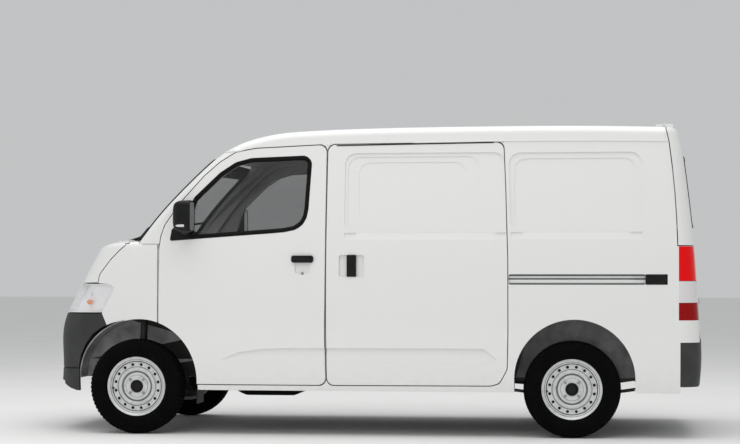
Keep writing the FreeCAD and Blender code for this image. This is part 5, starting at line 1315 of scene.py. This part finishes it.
@dataclass
class TailLamps:
    """Upright rear lamps: red above, clear in the middle, dark red below."""

    red_low: float = 0.936
    clear_low: float = 0.807
    joint: float = 0.0012

    def build(self) -> None:
        """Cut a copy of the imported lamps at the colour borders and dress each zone."""
        source = frame["nodes"]["tail_lamps"].data
        mesh = bpy.data.meshes.new("tail_lamp_lenses")
        with edited(mesh, source) as work:
            for level in (self.red_low, self.clear_low):
                for edge in (level - self.joint, level + self.joint):
                    bmesh.ops.bisect_plane(work, geom=work.verts[:] + work.edges[:] + work.faces[:],
                                           plane_co=(0, 0, edge), plane_no=(0, 0, 1))
            for face in work.faces:
                z = face.calc_center_median().z
                if min(abs(z - self.red_low), abs(z - self.clear_low)) < self.joint:
                    face.material_index = 3
                else:
                    face.material_index = 0 if z > self.red_low else 1 if z > self.clear_low else 2
        for finish in (RED_LENS, CLEAR_TAIL, DARK_RED_LENS, SEAL):
            mesh.materials.append(finish.material())
        lenses = placed("tail_lamp_lenses", mesh)
        shade(mesh, 30)
        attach(lenses, "body")
        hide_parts("tail_lamps")


@dataclass
class Headlamps:
    """Clear lamp covers over bright bowls, with the main bulb and an amber side bulb."""

    wall: float = 0.003
    bulb: Point = (-1.735, -0.560, 0.835)
    amber: Pair = (-1.752, 0.803)
    amber_size: Pair = (0.026, 0.016)
    amber_depth: float = 0.030
    look: Point = (-0.75, 0.66, 0.1)
    facing: float = 0.25
    cut_walls: Point = (0.999, 0.999, 0.9)

    def build(self) -> None:
        """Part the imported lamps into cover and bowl, then set the bulbs."""
        source = frame["nodes"]["headlamps"].data
        cover = self.part(source, "headlamp_covers", True, CLEAR_LENS)
        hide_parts("headlamps")
        self.part(source, "headlamp_bowls", False, REFLECTOR)
        skin = Skin(("headlamps",))
        for side in SIDES:
            x, z = self.amber
            place, _ = skin.flank(x, z, side)
            bulb = [(self.amber_size[0] * math.cos(angle), max(0.0003, self.amber_size[1] * math.sin(angle)))
                    for angle in angles(24)[:13]]
            net = lathe(bulb, (x, place.y - side.value * self.amber_depth, z), side.value, 24)
            piece(f"amber_bulb_{side.label}", net, AMBER_LENS, "body")
            middle = (self.bulb[0], side.value * abs(self.bulb[1]), self.bulb[2])
            piece(f"headlamp_ring_{side.label}", self.bowl_ring(middle), BLACK_ABS, "body")

    def bowl_ring(self, middle: Point) -> Net:
        """A dark ring with the bulb's cap, facing forwards.

        Args:
            middle: the bulb's place.

        Returns:
            Points and faces.
        """
        section = [(0.0, 0.058), (-0.010, 0.060), (-0.012, 0.055), (-0.002, 0.050), (0.020, 0.022),
                   (-0.018, 0.014), (-0.026, 0.010), (-0.028, 0.0003), (0.030, 0.0003), (0.030, 0.050)]
        return tube([[(middle[0] + out, middle[1] + r * math.cos(angle), middle[2] + r * math.sin(angle))
                      for out, r in section] for angle in angles(40)], True)

    def is_outer(self, face: bmesh.types.BMFace) -> bool:
        """Whether a face belongs to the lamp's outer skin: it looks outwards and isn't a cut wall.

        Args:
            face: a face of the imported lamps.

        Returns:
            True for the outer skin.
        """
        x, y, z = self.look
        outward = Vector((x, y if face.calc_center_median().y > 0 else -y, z))
        cut = any(abs(share) > limit for share, limit in zip(face.normal, self.cut_walls))
        return face.normal.dot(outward) > self.facing and not cut

    def part(self, source: bpy.types.Mesh, name: str, outside: bool, finish: Finish) -> bpy.types.Object:
        """Keep the faces on one side of the lamp and give them a thickness.

        Args:
            source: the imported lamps' mesh.
            name: the piece's name.
            outside: whether to keep the outer faces or the rest.
            finish: what the piece is made of.

        Returns:
            The piece.
        """
        mesh = bpy.data.meshes.new(name)
        with edited(mesh, source) as work:
            bmesh.ops.remove_doubles(work, verts=work.verts, dist=1e-5)
            work.normal_update()
            doomed = [face for face in work.faces if self.is_outer(face) != outside]
            bmesh.ops.delete(work, geom=doomed, context="FACES")
        made = mesh_piece(name, mesh, finish, "body", 45)
        solid = made.modifiers.new("wall", "SOLIDIFY")
        solid.thickness = self.wall
        solid.offset = -1.0 if outside else 0.0
        return made


@dataclass
class Wipers:
    """Two windscreen wipers with pivots on the scuttle."""

    pivots: tuple[Pair, ...] = ((-0.50, 1.192), (0.10, 1.192))
    reach: Pair = (0.46, 0.115)
    blade: float = 0.50
    rise: float = 0.075
    droop: float = 0.012
    shoulder: Pair = (0.10, 0.050)
    arm_heights: tuple[float, ...] = (
        0.024, 0.026, 0.026, 0.025, 0.024, 0.023, 0.022, 0.021, 0.020, 0.019, 0.018,
    )
    arm_sizes: tuple[float, ...] = (1.5, 1.5, 1.3, 1.1, 1.0, 0.95, 0.9, 0.85, 0.8, 0.75, 0.7, 0.6)
    blade_height: float = 0.007

    def build(self) -> None:
        """Lay each arm and blade over the glass."""
        scuttle = Skin(("windscreen_glass", "cowl", "bonnet", "bulkhead", "roof_panel"))
        pane = Skin(("windscreen_glass",))
        for number, (y, z) in enumerate(self.pivots):
            tip = (y + self.reach[0], z + self.reach[1])
            self.arm(f"wiper_arm_{number + 1}", scuttle, pane, (y, z), tip)
            start = (tip[0] - self.blade * 0.5, tip[1] - self.rise * 0.5 + self.droop)
            end = (tip[0] + self.blade * 0.45, tip[1] + self.rise * 0.5 - self.droop)
            self.strip(f"wiper_blade_{number + 1}", pane, start, end)

    def line(self, pane: Skin, start: Pair, end: Pair,
             heights: tuple[float, ...]) -> tuple[list[Vector], list[Vector]]:
        """Places above the glass between two points of the front view, with their normals.

        Args:
            pane: the glass.
            start: first point, Y and Z.
            end: last point, Y and Z.
            heights: height over the glass at each place.

        Returns:
            Places and normals.
        """
        path, ups = [], []
        for k, height in enumerate(heights):
            t = k / (len(heights) - 1)
            spot = start[0] + (end[0] - start[0]) * t, start[1] + (end[1] - start[1]) * t
            found = pane.hit(*View.FRONT.ray(*spot))
            if found:
                place, normal = found
                normal = normal if normal.x < 0 else -normal
                path.append(place + normal * height)
                ups.append(normal)
        return path, ups

    def arm(self, name: str, scuttle: Skin, pane: Skin, start: Pair, tip: Pair) -> None:
        """A tapered pressed arm on a round pivot.

        Args:
            name: the piece's name.
            scuttle: what the pivot stands on.
            pane: the glass.
            start: the pivot, Y and Z.
            tip: the arm's end, Y and Z.
        """
        shoulder = (start[0] + self.shoulder[0], start[1] + self.shoulder[1])
        path, ups = self.line(pane, shoulder, tip, self.arm_heights)
        base, up = scuttle.hit(*View.FRONT.ray(*start))[0] + ups[0] * 0.014, ups[0]
        half = [(0.005, 0.004), (0.008, 0.002), (0.008, -0.003)]
        section = [(-across, rise) for across, rise in reversed(half)] + half
        pressed = sweep([base, *path], [up, *ups], section, self.arm_sizes[:len(path) + 1])
        side = up.cross(Vector((0, 1, 0))).normalized()
        other = up.cross(side)
        rings = []
        for out, radius in ((-0.020, 0.012), (0.004, 0.012), (0.009, 0.010), (0.011, 0.004), (0.011, 0.0004)):
            ring = oval(radius, radius, 20)
            rings.append([tuple(base + up * out + side * a + other * b) for a, b in ring])
        piece(name, joined(pressed, tube(rings, False)), BLACK_ABS, "body", 40)

    def strip(self, name: str, pane: Skin, start: Pair, end: Pair) -> None:
        """A rubber blade under a thin spine.

        Args:
            name: the piece's name.
            pane: the glass.
            start: the inner end, Y and Z.
            end: the outer end, Y and Z.
        """
        sizes = (0.6, 0.8) + (1.0,) * 13 + (0.8, 0.6)
        path, ups = self.line(pane, start, end, (self.blade_height,) * len(sizes))
        section = [(-0.0015, -0.0055), (-0.0025, 0.001), (-0.006, 0.003), (-0.005, 0.007), (0.0, 0.009),
                   (0.005, 0.007), (0.006, 0.003), (0.0025, 0.001), (0.0015, -0.0055)]
        piece(name, sweep(path, ups, section, sizes[:len(path)]), SEAL, "body", 40)


@dataclass
class DoorMirrors:
    """Black door mirrors: a rounded shell on an arm and a corner sail, with pane and clear indicator."""

    rear_x: float = -1.0525
    front_x: float = -1.170
    middle_y: float = 0.870
    middle_z: float = 1.3265
    half_y: float = 0.0745
    half_z: float = 0.0965
    drop: float = 0.010
    squareness: float = 5
    sail: tuple[Pair, ...] = (
        (-1.2100, 1.1790), (-1.0500, 1.1890), (-1.0500, 1.2350), (-1.1100, 1.2950), (-1.1660, 1.2760),
        (-1.1980, 1.2480),
    )
    lamp_z: float = 1.268
    lamp_along: Pair = (0.30, 0.46)

    def build(self) -> None:
        """Make each side's shell, sail, pane and indicator."""
        for side in SIDES:
            body = f"front_door_{side.label}"
            net = joined(self.shell(side), self.arm(side), self.sail_plate(side))
            housing = piece(f"mirror_housing_{side.label}", net, BLACK_ABS, body, 40)
            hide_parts(f"door_mirror_{side.label}")
            rings = [self.ring(side, self.rear_x + out, 0.90 - inset, 0.90 - inset)
                     for inset, out in ((0.0, -0.0100), (0.0, -0.0030), (0.008, -0.0024), (0.40, -0.0020))]
            piece(f"mirror_pane_{side.label}", tube(rings, False), MIRROR, body, 25)
            self.indicator(side, body)

    def ring(self, side: Side, x: float, wide: float, high: float, drop: float = 0.0) -> list[Point]:
        """A rounded rectangle across the van at x.

        Args:
            side: the flank.
            x: its place along the van.
            wide: share of the full width.
            high: share of the full height.
            drop: how far its middle lies inboard.

        Returns:
            Its points.
        """
        result = []
        for angle in angles(48):
            c, w = math.cos(angle), math.sin(angle)
            span = (abs(c) ** self.squareness + abs(w) ** self.squareness) ** (1 / self.squareness)
            result.append((x, side.value * (self.middle_y - drop + self.half_y * wide * c / span),
                           self.middle_z + self.half_z * high * w / span))
        return result

    def shell(self, side: Side) -> Net:
        """The housing, round at the front and hollow at the rear.

        Args:
            side: the flank.

        Returns:
            Points and faces.
        """
        span = self.front_x - self.rear_x
        stations = [(0.0, 0.93, 0.94), (0.015, 0.965, 0.975), (0.06, 1.0, 1.0), (0.25, 1.0, 1.0),
                    (0.45, 0.985, 0.99), (0.62, 0.94, 0.965), (0.76, 0.86, 0.92), (0.87, 0.74, 0.84),
                    (0.94, 0.60, 0.72), (0.985, 0.40, 0.52), (1.0, 0.16, 0.22)]
        rings = [self.ring(side, self.rear_x - 0.0120, 0.88, 0.88)]
        for share, wide, high in stations:
            rings.append(self.ring(side, self.rear_x + span * share, wide, high, self.drop * share))
        return tube(rings, False)

    def arm(self, side: Side) -> Net:
        """The short arm under the shell, reaching the sail.

        Args:
            side: the flank.

        Returns:
            Points and faces.
        """
        path = [Vector((-1.105, side.value * y, z)) for y, z in
                ((0.880, 1.246), (0.855, 1.236), (0.825, 1.228), (0.800, 1.222), (0.782, 1.220))]
        return sweep(path, [Vector((0, 0, 1))] * 5, oval(0.030, 0.014, 20), [0.8, 1.0, 1.05, 1.15, 1.3])

    def sail_plate(self, side: Side) -> Net:
        """The black triangle in the window's front corner.

        Args:
            side: the flank.

        Returns:
            Points and faces.
        """
        skin = Skin((f"front_door_{side.label}", f"front_door_glass_{side.label}"))
        outline = smooth_outline(list(self.sail), 0.012, 0.006)
        low = min(skin.flank(u, v, side)[0].y * side.value for (u, v), _ in outline)
        rings = []
        for inset, proud in ((0.0, -0.004), (0.0, 0.0035), (0.002, 0.0055), (0.010, 0.0065)):
            ring = []
            for (u, v), (n, m) in outline:
                y = max(skin.flank(u, v, side)[0].y * side.value, low)
                ring.append((u + n * inset, side.value * (y + proud), v + m * inset))
            rings.append(ring)
        return tube(rings, False)

    def indicator(self, side: Side, body: str) -> None:
        """A clear side indicator wrapped over the shell's outer face.

        Args:
            side: the flank.
            body: the door that it rides on.
        """
        span = self.front_x - self.rear_x
        rows = []
        bulge = ((-0.0075, -0.001), (-0.0065, 0.0012), (0.0, 0.0020), (0.0065, 0.0012), (0.0075, -0.001))
        for lift, proud in bulge:
            row = []
            for k in range(13):
                share = self.lamp_along[0] + self.lamp_along[1] * k / 12
                wide = 1.0 if share < 0.45 else 1.0 - 0.9 * (share - 0.45) ** 2 * 1.6
                level = self.lamp_z + lift * (1.0 - 0.5 * (k / 12) ** 4)
                out = self.middle_y - self.drop * share + self.half_y * wide + proud
                row.append((self.rear_x + span * share, side.value * out, level))
            rows.append(row)
        piece(f"mirror_indicator_{side.label}", woven(rows), CLEAR_TAIL, body, 40)


@dataclass
class FrontArches:
    """Bumper and wings with the front edge of the arch set as far forward as the wheel house."""

    outline: tuple[Pair, ...] = (
        (-1.8230, 0.20), (-1.8230, 0.337), (-1.8210, 0.413), (-1.8050, 0.4786), (-1.7720, 0.544),
        (-1.7250, 0.604), (-1.6620, 0.6474), (-1.5950, 0.6746), (-1.5080, 0.6940), (-1.42, 0.66),
        (-1.42, 0.20),
    )
    inner: float = 0.56
    outer: float = 0.90
    axle: float = FRONT_AXLE
    reach: float = 1.12

    def build(self) -> None:
        """Cut a copy of each panel, draw the wheel house forward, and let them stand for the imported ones."""
        cutter = self.cutter()
        for node in ("front_bumper", "front_wing_left", "front_wing_right"):
            panel = self.panel(node)
            cut = panel.modifiers.new("arch", "BOOLEAN")
            cut.operation = "DIFFERENCE"
            cut.solver = "EXACT"
            cut.object = cutter
            shaped = applied(panel)
            panel.modifiers.clear()
            panel.data = shaped
            self.finish(panel, node)
        bpy.data.objects.remove(cutter)
        house = self.panel("wheel_houses_front")
        for vertex in house.data.vertices:
            if vertex.co.x < self.axle:
                vertex.co.x = self.axle + (vertex.co.x - self.axle) * self.reach
        self.finish(house, "wheel_houses_front")

    def panel(self, node: str) -> bpy.types.Object:
        """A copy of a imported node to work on."""
        return placed(f"{node}_panel", frame["nodes"][node].data.copy())

    def finish(self, panel: bpy.types.Object, node: str) -> None:
        """Keep the panel's folds sharp and let it stand for its node.

        Args:
            panel: the reworked copy.
            node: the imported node.
        """
        panel.data.set_sharp_from_angle(angle=math.radians(35))
        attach(panel, "body")
        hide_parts(node)

    def cutter(self) -> bpy.types.Object:
        """A prism on each side that takes the strip in front of the wheel away.

        Returns:
            The object to cut with.
        """
        points, faces = joined(*(
            tube([[(x, side.value * y, z) for x, z in self.outline] for y in (self.inner, self.outer)], False)
            for side in SIDES))
        mesh = bpy.data.meshes.new("arch_cutter")
        mesh.from_pydata(points, [], faces)
        with edited(mesh) as work:
            bmesh.ops.recalc_face_normals(work, faces=work.faces)
        return placed("arch_cutter", mesh)


@dataclass
class Undershield:
    """Black tray under the engine, with a rolled edge and pressed ribs."""

    along: Pair = (-0.885, -0.475)
    half_width: float = 0.30
    top: float = 0.236
    deep: float = 0.030
    rib: float = 0.004
    rib_waves: int = 7
    rib_span: float = 0.7
    edge_slope: float = 6.0
    grid: tuple[int, int] = (42, 31)

    def build(self) -> None:
        """Make the tray as one pressed skin."""
        start, end = self.along
        columns, rows = self.grid
        net = []
        for k in range(columns):
            s = k / (columns - 1)
            row = []
            for j in range(rows):
                t = 2 * j / (rows - 1) - 1
                edge = min(1.0, self.edge_slope * min(s, 1 - s), self.edge_slope * (1 - abs(t)))
                ribbed = self.rib if abs(t) < self.rib_span else 0.0
                rib = ribbed * max(0.0, math.cos(2 * self.rib_waves * math.pi * s))
                drop = self.deep * math.sin(edge * math.pi / 2) - rib
                row.append((start + (end - start) * s, self.half_width * t, self.top - drop))
            net.append(row)
        piece("engine_undershield", woven(net), BLACK_ABS, "body", 40)


@dataclass
class DripRails:
    """Rain gutters above the doors, with a black rubber strip over the sliding door that is painted shade
    under the gutter.
    """

    line: tuple[Pair, ...] = (
        (-0.870, 1.7195), (-0.781, 1.7275), (-0.657, 1.7395), (-0.440, 1.7500), (-0.228, 1.7615),
        (-0.010, 1.7650), (0.199, 1.7675), (0.500, 1.7710), (0.801, 1.7745), (1.100, 1.7740), (1.395, 1.7725),
        (1.795, 1.7665),
    )
    seal_line: tuple[Pair, ...] = ((-0.222, 1.7575), (0.199, 1.7632), (0.801, 1.7700), (0.822, 1.7700))
    seal_drop: float = 0.004

    def build(self) -> None:
        """Make the gutter and the black strip of painted shade on each side."""
        gutter = [(-0.0045, -0.004), (-0.0045, 0.0045), (-0.003, 0.006), (0.001, 0.006), (0.0035, 0.003),
                  (0.0045, -0.004)]
        bead = [(-0.0030, -0.006), (-0.0030, 0.0020), (0.0, 0.0034), (0.0030, 0.0020), (0.0030, -0.006)]
        for side in SIDES:
            section = gutter if side is Side.LEFT else [(-a, b) for a, b in reversed(gutter)]
            flank = f"body_side_{side.label}"
            roof, door = Skin((flank, "roof_panel")), Skin((f"sliding_door_{side.label}", flank))
            self.strip(f"drip_rail_{side.label}", roof, side, self.even(self.line, 0.03), section, PAINT)
            # Painted shade: a black rubber strip laid along the gutter's shadow line over the sliding door.
            places = [(x, z - self.seal_drop) for x, z in self.even(self.seal_line, 0.04)]
            self.strip(f"sliding_door_seal_{side.label}", door, side, places, bead, SEAL)

    def strip(self, name: str, skin: Skin, side: Side, places: list[Pair], section: list[Pair],
              finish: Finish) -> None:
        """Lay a strip along a flank.

        Args:
            name: the piece's name.
            skin: the panels it lies on.
            side: the flank.
            places: X and Z of the strip's line.
            section: its section.
            finish: what it is made of.
        """
        path, ups = [], []
        for x, z in places:
            place, normal = skin.flank(x, z, side)
            path.append(place)
            ups.append(normal if normal.y * side.value > 0 else -normal)
        piece(name, sweep(path, ups, section), finish, "body", 40)

    def even(self, line: tuple[Pair, ...], step: float) -> list[Pair]:
        """Places along a line at about even steps.

        Args:
            line: corners of the line, X and Z.
            step: about how far apart the places are.

        Returns:
            The places, X and Z.
        """
        places = []
        for (x0, z0), (x1, z1) in zip(line, line[1:]):
            count = max(1, round((x1 - x0) / step))
            places += [(x0 + (x1 - x0) * k / count, z0 + (z1 - z0) * k / count) for k in range(count)]
        return places + [line[-1]]


@dataclass
class SteeringWheel:
    """Foam-covered steering wheel with three spokes and its column."""

    centre: Point = (-1.0922, -0.360, 0.986)
    radius: float = 0.190
    grip: float = 0.014
    dish: float = 0.030
    lean: Point = (-0.55, 0.0, -0.83)
    spoke_dip: float = 0.15

    def build(self) -> None:
        """Make rim, spokes, hub and column as one moulding."""
        axis = Vector(self.lean).normalized()
        across = Vector((0, 1, 0))
        down = across.cross(axis).normalized()
        centre = Vector(self.centre)
        spokes = (self.spoke_dip, math.pi - self.spoke_dip, math.pi / 2)
        boss = ((-0.004, 0.0006), (-0.004, 0.045), (0.0, 0.060), (0.018, 0.066), (0.030, 0.060),
                (0.034, 0.032), (0.240, 0.030), (0.290, 0.030), (0.290, 0.0006))

        def out(angle: float) -> Vector:
            """Direction away from the hub at an angle."""
            return across * math.cos(angle) + down * math.sin(angle)

        rim = [[tuple(centre + out(angle) * (self.radius + wide) - axis * deep)
                for wide, deep in oval(self.grip, self.grip, 14)] for angle in angles(72)]
        nets = [tube(rim, True)]
        for angle in spokes:
            path = [centre + out(angle) * (self.radius * t) + axis * (self.dish * (1 - t))
                    for t in (0.1, 0.4, 0.7, 0.97)]
            nets.append(sweep(path, [-axis] * 4, oval(0.022, 0.007, 12), [1.4, 1.1, 0.9, 0.8]))
        nets.append(tube([[tuple(centre + axis * depth + out(a) * radius) for a in angles(32)]
                          for depth, radius in boss], False))
        wheel = piece("steering_wheel_moulding", joined(*nets), BLACK_ABS, "body")
        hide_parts("steering_wheel")


@dataclass(frozen=True)
class Pad:
    """One stuffed pad of the left seat."""

    name: str
    centre: Point
    half: Point
    lean_deg: float
    fill: float
    crown: Point
    channels: int

    def face(self, place: Vector) -> float:
        """How near a place is to the sewn face, as a share of the pad's half thickness."""
        return sum(c * p / h for c, p, h in zip(self.crown, place, self.half))


@dataclass
class Seats:
    """Two padded front seats: cushion, backrest and headrest, with an edge seam round each."""

    pads: tuple[Pad, ...] = (
        Pad("cushion", (-0.665, -0.360, 0.766), (0.235, 0.235, 0.066), 0.0, 0.90, (0, 0, 1), 0),
        Pad("backrest", (-0.312, -0.360, 1.068), (0.055, 0.215, 0.300), 13.0, 0.85, (-1, 0, 0), 2),
        Pad("headrest", (-0.232, -0.360, 1.405), (0.044, 0.128, 0.086), 6.0, 0.90, (0, 0, 0), 2),
    )
    voxel: float = 0.010
    swell: float = 0.012
    squareness: float = 5.0
    cloth_quality: int = 4
    pressure: float = 4.0
    last_frame: int = 20
    channel_half: float = 0.007
    long_channels: Pair = (-0.42, 0.42)
    cross_channels: Pair = (-0.35, 0.2)
    channel_depths: Pair = (0.007, 0.005)
    seam_level: Pair = (0.55, 0.06)
    seam_sink: float = 0.004

    def build(self) -> None:
        """Pad the left seat's pieces, then mirror them for the right."""
        for pad in self.pads:
            mesh = self.stuffed(pad)
            for side in SIDES:
                copy = mesh.copy()
                if side is Side.RIGHT:
                    copy.transform(Matrix.Scale(-1, 4, (0, 1, 0)))
                    copy.flip_normals()
                copy.materials.append(CLOTH.material())
                for polygon in copy.polygons:
                    polygon.use_smooth = True
                seat = placed(f"seat_{pad.name}_{side.label}", copy)
                smooth = seat.modifiers.new("subdivision", "SUBSURF")
                smooth.levels = smooth.render_levels = 1
                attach(seat, "body")
                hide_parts("front_seats")

    def stuffed(self, pad: Pad) -> bpy.types.Mesh:
        """A stuffed form: crowned faces, drawn-in sides, sewn channels and an edge seam.

        Args:
            pad: the pad.

        Returns:
            Its mesh, in the left seat's place.
        """
        mesh = bpy.data.meshes.new(f"seat_{pad.name}_pad")
        inner = [size - self.swell for size in pad.half]
        with edited(mesh) as work:
            bmesh.ops.create_cube(work, size=2.0)
            bmesh.ops.subdivide_edges(work, edges=work.edges[:], cuts=9, use_grid_fill=True)
            for vertex in work.verts:
                p, power = vertex.co, self.squareness
                span = (abs(p.x) ** power + abs(p.y) ** power + abs(p.z) ** power) ** (1 / power)
                vertex.co = Vector((p.x / span * inner[0], p.y / span * inner[1], p.z / span * inner[2]))
        form = placed(f"seat_{pad.name}_pad", mesh)
        remesh = form.modifiers.new("voxels", "REMESH")
        remesh.mode = "VOXEL"
        remesh.voxel_size = self.voxel
        start = applied(form)
        form.modifiers.clear()
        form.data = start
        before = [v.co.copy() for v in start.vertices]
        after = self.blown(form)
        result = start.copy()
        for vertex, old, new in zip(result.vertices, before, after):
            move = new - old
            if move.length > self.swell:
                move *= self.swell / move.length
            place = old + move
            place -= self.seam_depth(place, pad) * (place.normalized() if place.length else place)
            vertex.co = Vector([max(-half, min(half, p)) for half, p in zip(pad.half, place)])
        lean = Matrix.Rotation(math.radians(pad.lean_deg), 4, "Y")
        result.transform(Matrix.Translation(Vector(pad.centre)) @ lean)
        bpy.data.objects.remove(form)
        return result

    def blown(self, form: bpy.types.Object) -> list[Vector]:
        """Where the form's corners come to rest when its cover is stuffed.

        Args:
            form: the sewn cover.

        Returns:
            The place of each corner.
        """
        cloth = form.modifiers.new("stuffing", "CLOTH")
        cloth.settings.quality = self.cloth_quality
        cloth.settings.use_pressure = True
        cloth.settings.uniform_pressure_force = self.pressure
        cloth.settings.effector_weights.gravity = 0.0
        for number in range(1, self.last_frame + 1):
            bpy.context.scene.frame_set(number)
        after = [v.co.copy() for v in applied(form).vertices]
        form.modifiers.clear()
        bpy.context.scene.frame_set(1)
        return after

    def seam_depth(self, place: Vector, pad: Pad) -> float:
        """How deep the sewn channels and the edge seam pull a place in.

        Args:
            place: a place on the pad, from its middle.
            pad: the pad.

        Returns:
            The depth in metres.
        """
        half, depth = pad.half, 0.0
        if pad.face(place) > 0.5:
            for line in self.long_channels:
                depth += self.channel_depths[0] * self.dent(place.y - line * half[1], self.channel_half)
            if abs(place.y) < self.long_channels[1] * half[1]:
                reach = half[pad.channels]
                for line in self.cross_channels:
                    offset = (place[pad.channels] / reach - line) * reach
                    depth += self.channel_depths[1] * self.dent(offset, self.channel_half)
        rim = abs(place.z) / half[2] if pad.channels == 0 else abs(place.x) / half[0]
        return depth + self.seam_sink * self.dent(rim - self.seam_level[0], self.seam_level[1])

    def dent(self, offset: float, width: float) -> float:
        """Share of a dent's full depth at an offset from its middle."""
        return math.exp(-(offset / width) ** 2)


@dataclass
class CabTrim:
    """Moulded door cards with a pull, on the inner face of the front doors."""

    outline: tuple[Pair, ...] = ((-1.180, 0.760), (-0.330, 0.760), (-0.330, 1.150), (-1.130, 1.110))
    steps: tuple[Pair, ...] = ((0.0, -0.001), (0.0, 0.004), (0.004, 0.006), (0.030, 0.006), (0.036, 0.003),
                               (0.090, 0.003), (0.096, 0.007), (0.140, 0.008))
    pull: Point = (-0.860, 0.40, 0.955)
    pull_rise: float = 0.03
    pull_gap: Pair = (0.004, 0.042)

    def build(self) -> None:
        """Make a card and a pull for each door."""
        for side in SIDES:
            door = f"front_door_{side.label}"
            skin = Skin((door,))
            places = smooth_outline(list(self.outline), 0.05, 0.03)
            rings = [[self.inside(skin, side, u + n * inset, v + m * inset, thick)
                      for (u, v), (n, m) in places] for inset, thick in self.steps]
            piece(f"door_card_{side.label}", tube(rings, False), CARD, door, 30)
            path = []
            for k in range(13):
                swing = math.sin(math.pi * k / 12)
                near, far = self.pull_gap
                x, z = self.pull[0] + self.pull[1] * k / 12, self.pull[2] + self.pull_rise * swing
                path.append(Vector(self.inside(skin, side, x, z, near + far * abs(swing) ** 0.5)))
            net = sweep(path, [Vector((0, 0, 1))] * 13, oval(0.016, 0.011, 14))
            piece(f"door_pull_{side.label}", net, BLACK_ABS, door, 40)

    def inside(self, skin: Skin, side: Side, x: float, z: float, gap: float) -> Point:
        """A place off the door's inner face, by a gap towards the cab.

        Args:
            skin: the door.
            side: the flank.
            x: place along the van.
            z: height.
            gap: distance off the door.

        Returns:
            The place.
        """
        found = skin.hit((x, side.value * 0.4, z), (0, side.value, 0))
        y = found[0].y if found else side.value * 0.75
        return x, y - side.value * gap, z


def main() -> None:
    """Build the van's looks in order and report each piece."""
    logging.basicConfig(level=logging.INFO, format="%(name)s: %(message)s")
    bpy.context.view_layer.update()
    parts = [PhotoCamera(), Studio(), BodyDressing(), WindowSeals(), TailLamps(), Headlamps(), Wipers(),
             DoorMirrors(), DripRails(), SlideRails(), FrontArches(), Undershield(), SteeringWheel(),
             CabTrim(), Seats()]
    for label, along in (("front", FRONT_AXLE), ("rear", REAR_AXLE)):
        for side in SIDES:
            centre = (along, side.value * WHEEL_Y, WHEEL_Z)
            body = f"wheel_{label}_{side.label}"
            parts.append(Tyre(centre, side.value, body, f"tyre_{label}_{side.label}"))
            parts.append(PressedWheel(centre, side.value, body, f"{label}_{side.label}"))
    for part in parts:
        known = set(bpy.data.objects.keys())
        part.build()
        for name in sorted(set(bpy.data.objects.keys()) - known):
            LOG.info("%s made %s", type(part).__name__, name)


if __name__ == "__main__":
    main()
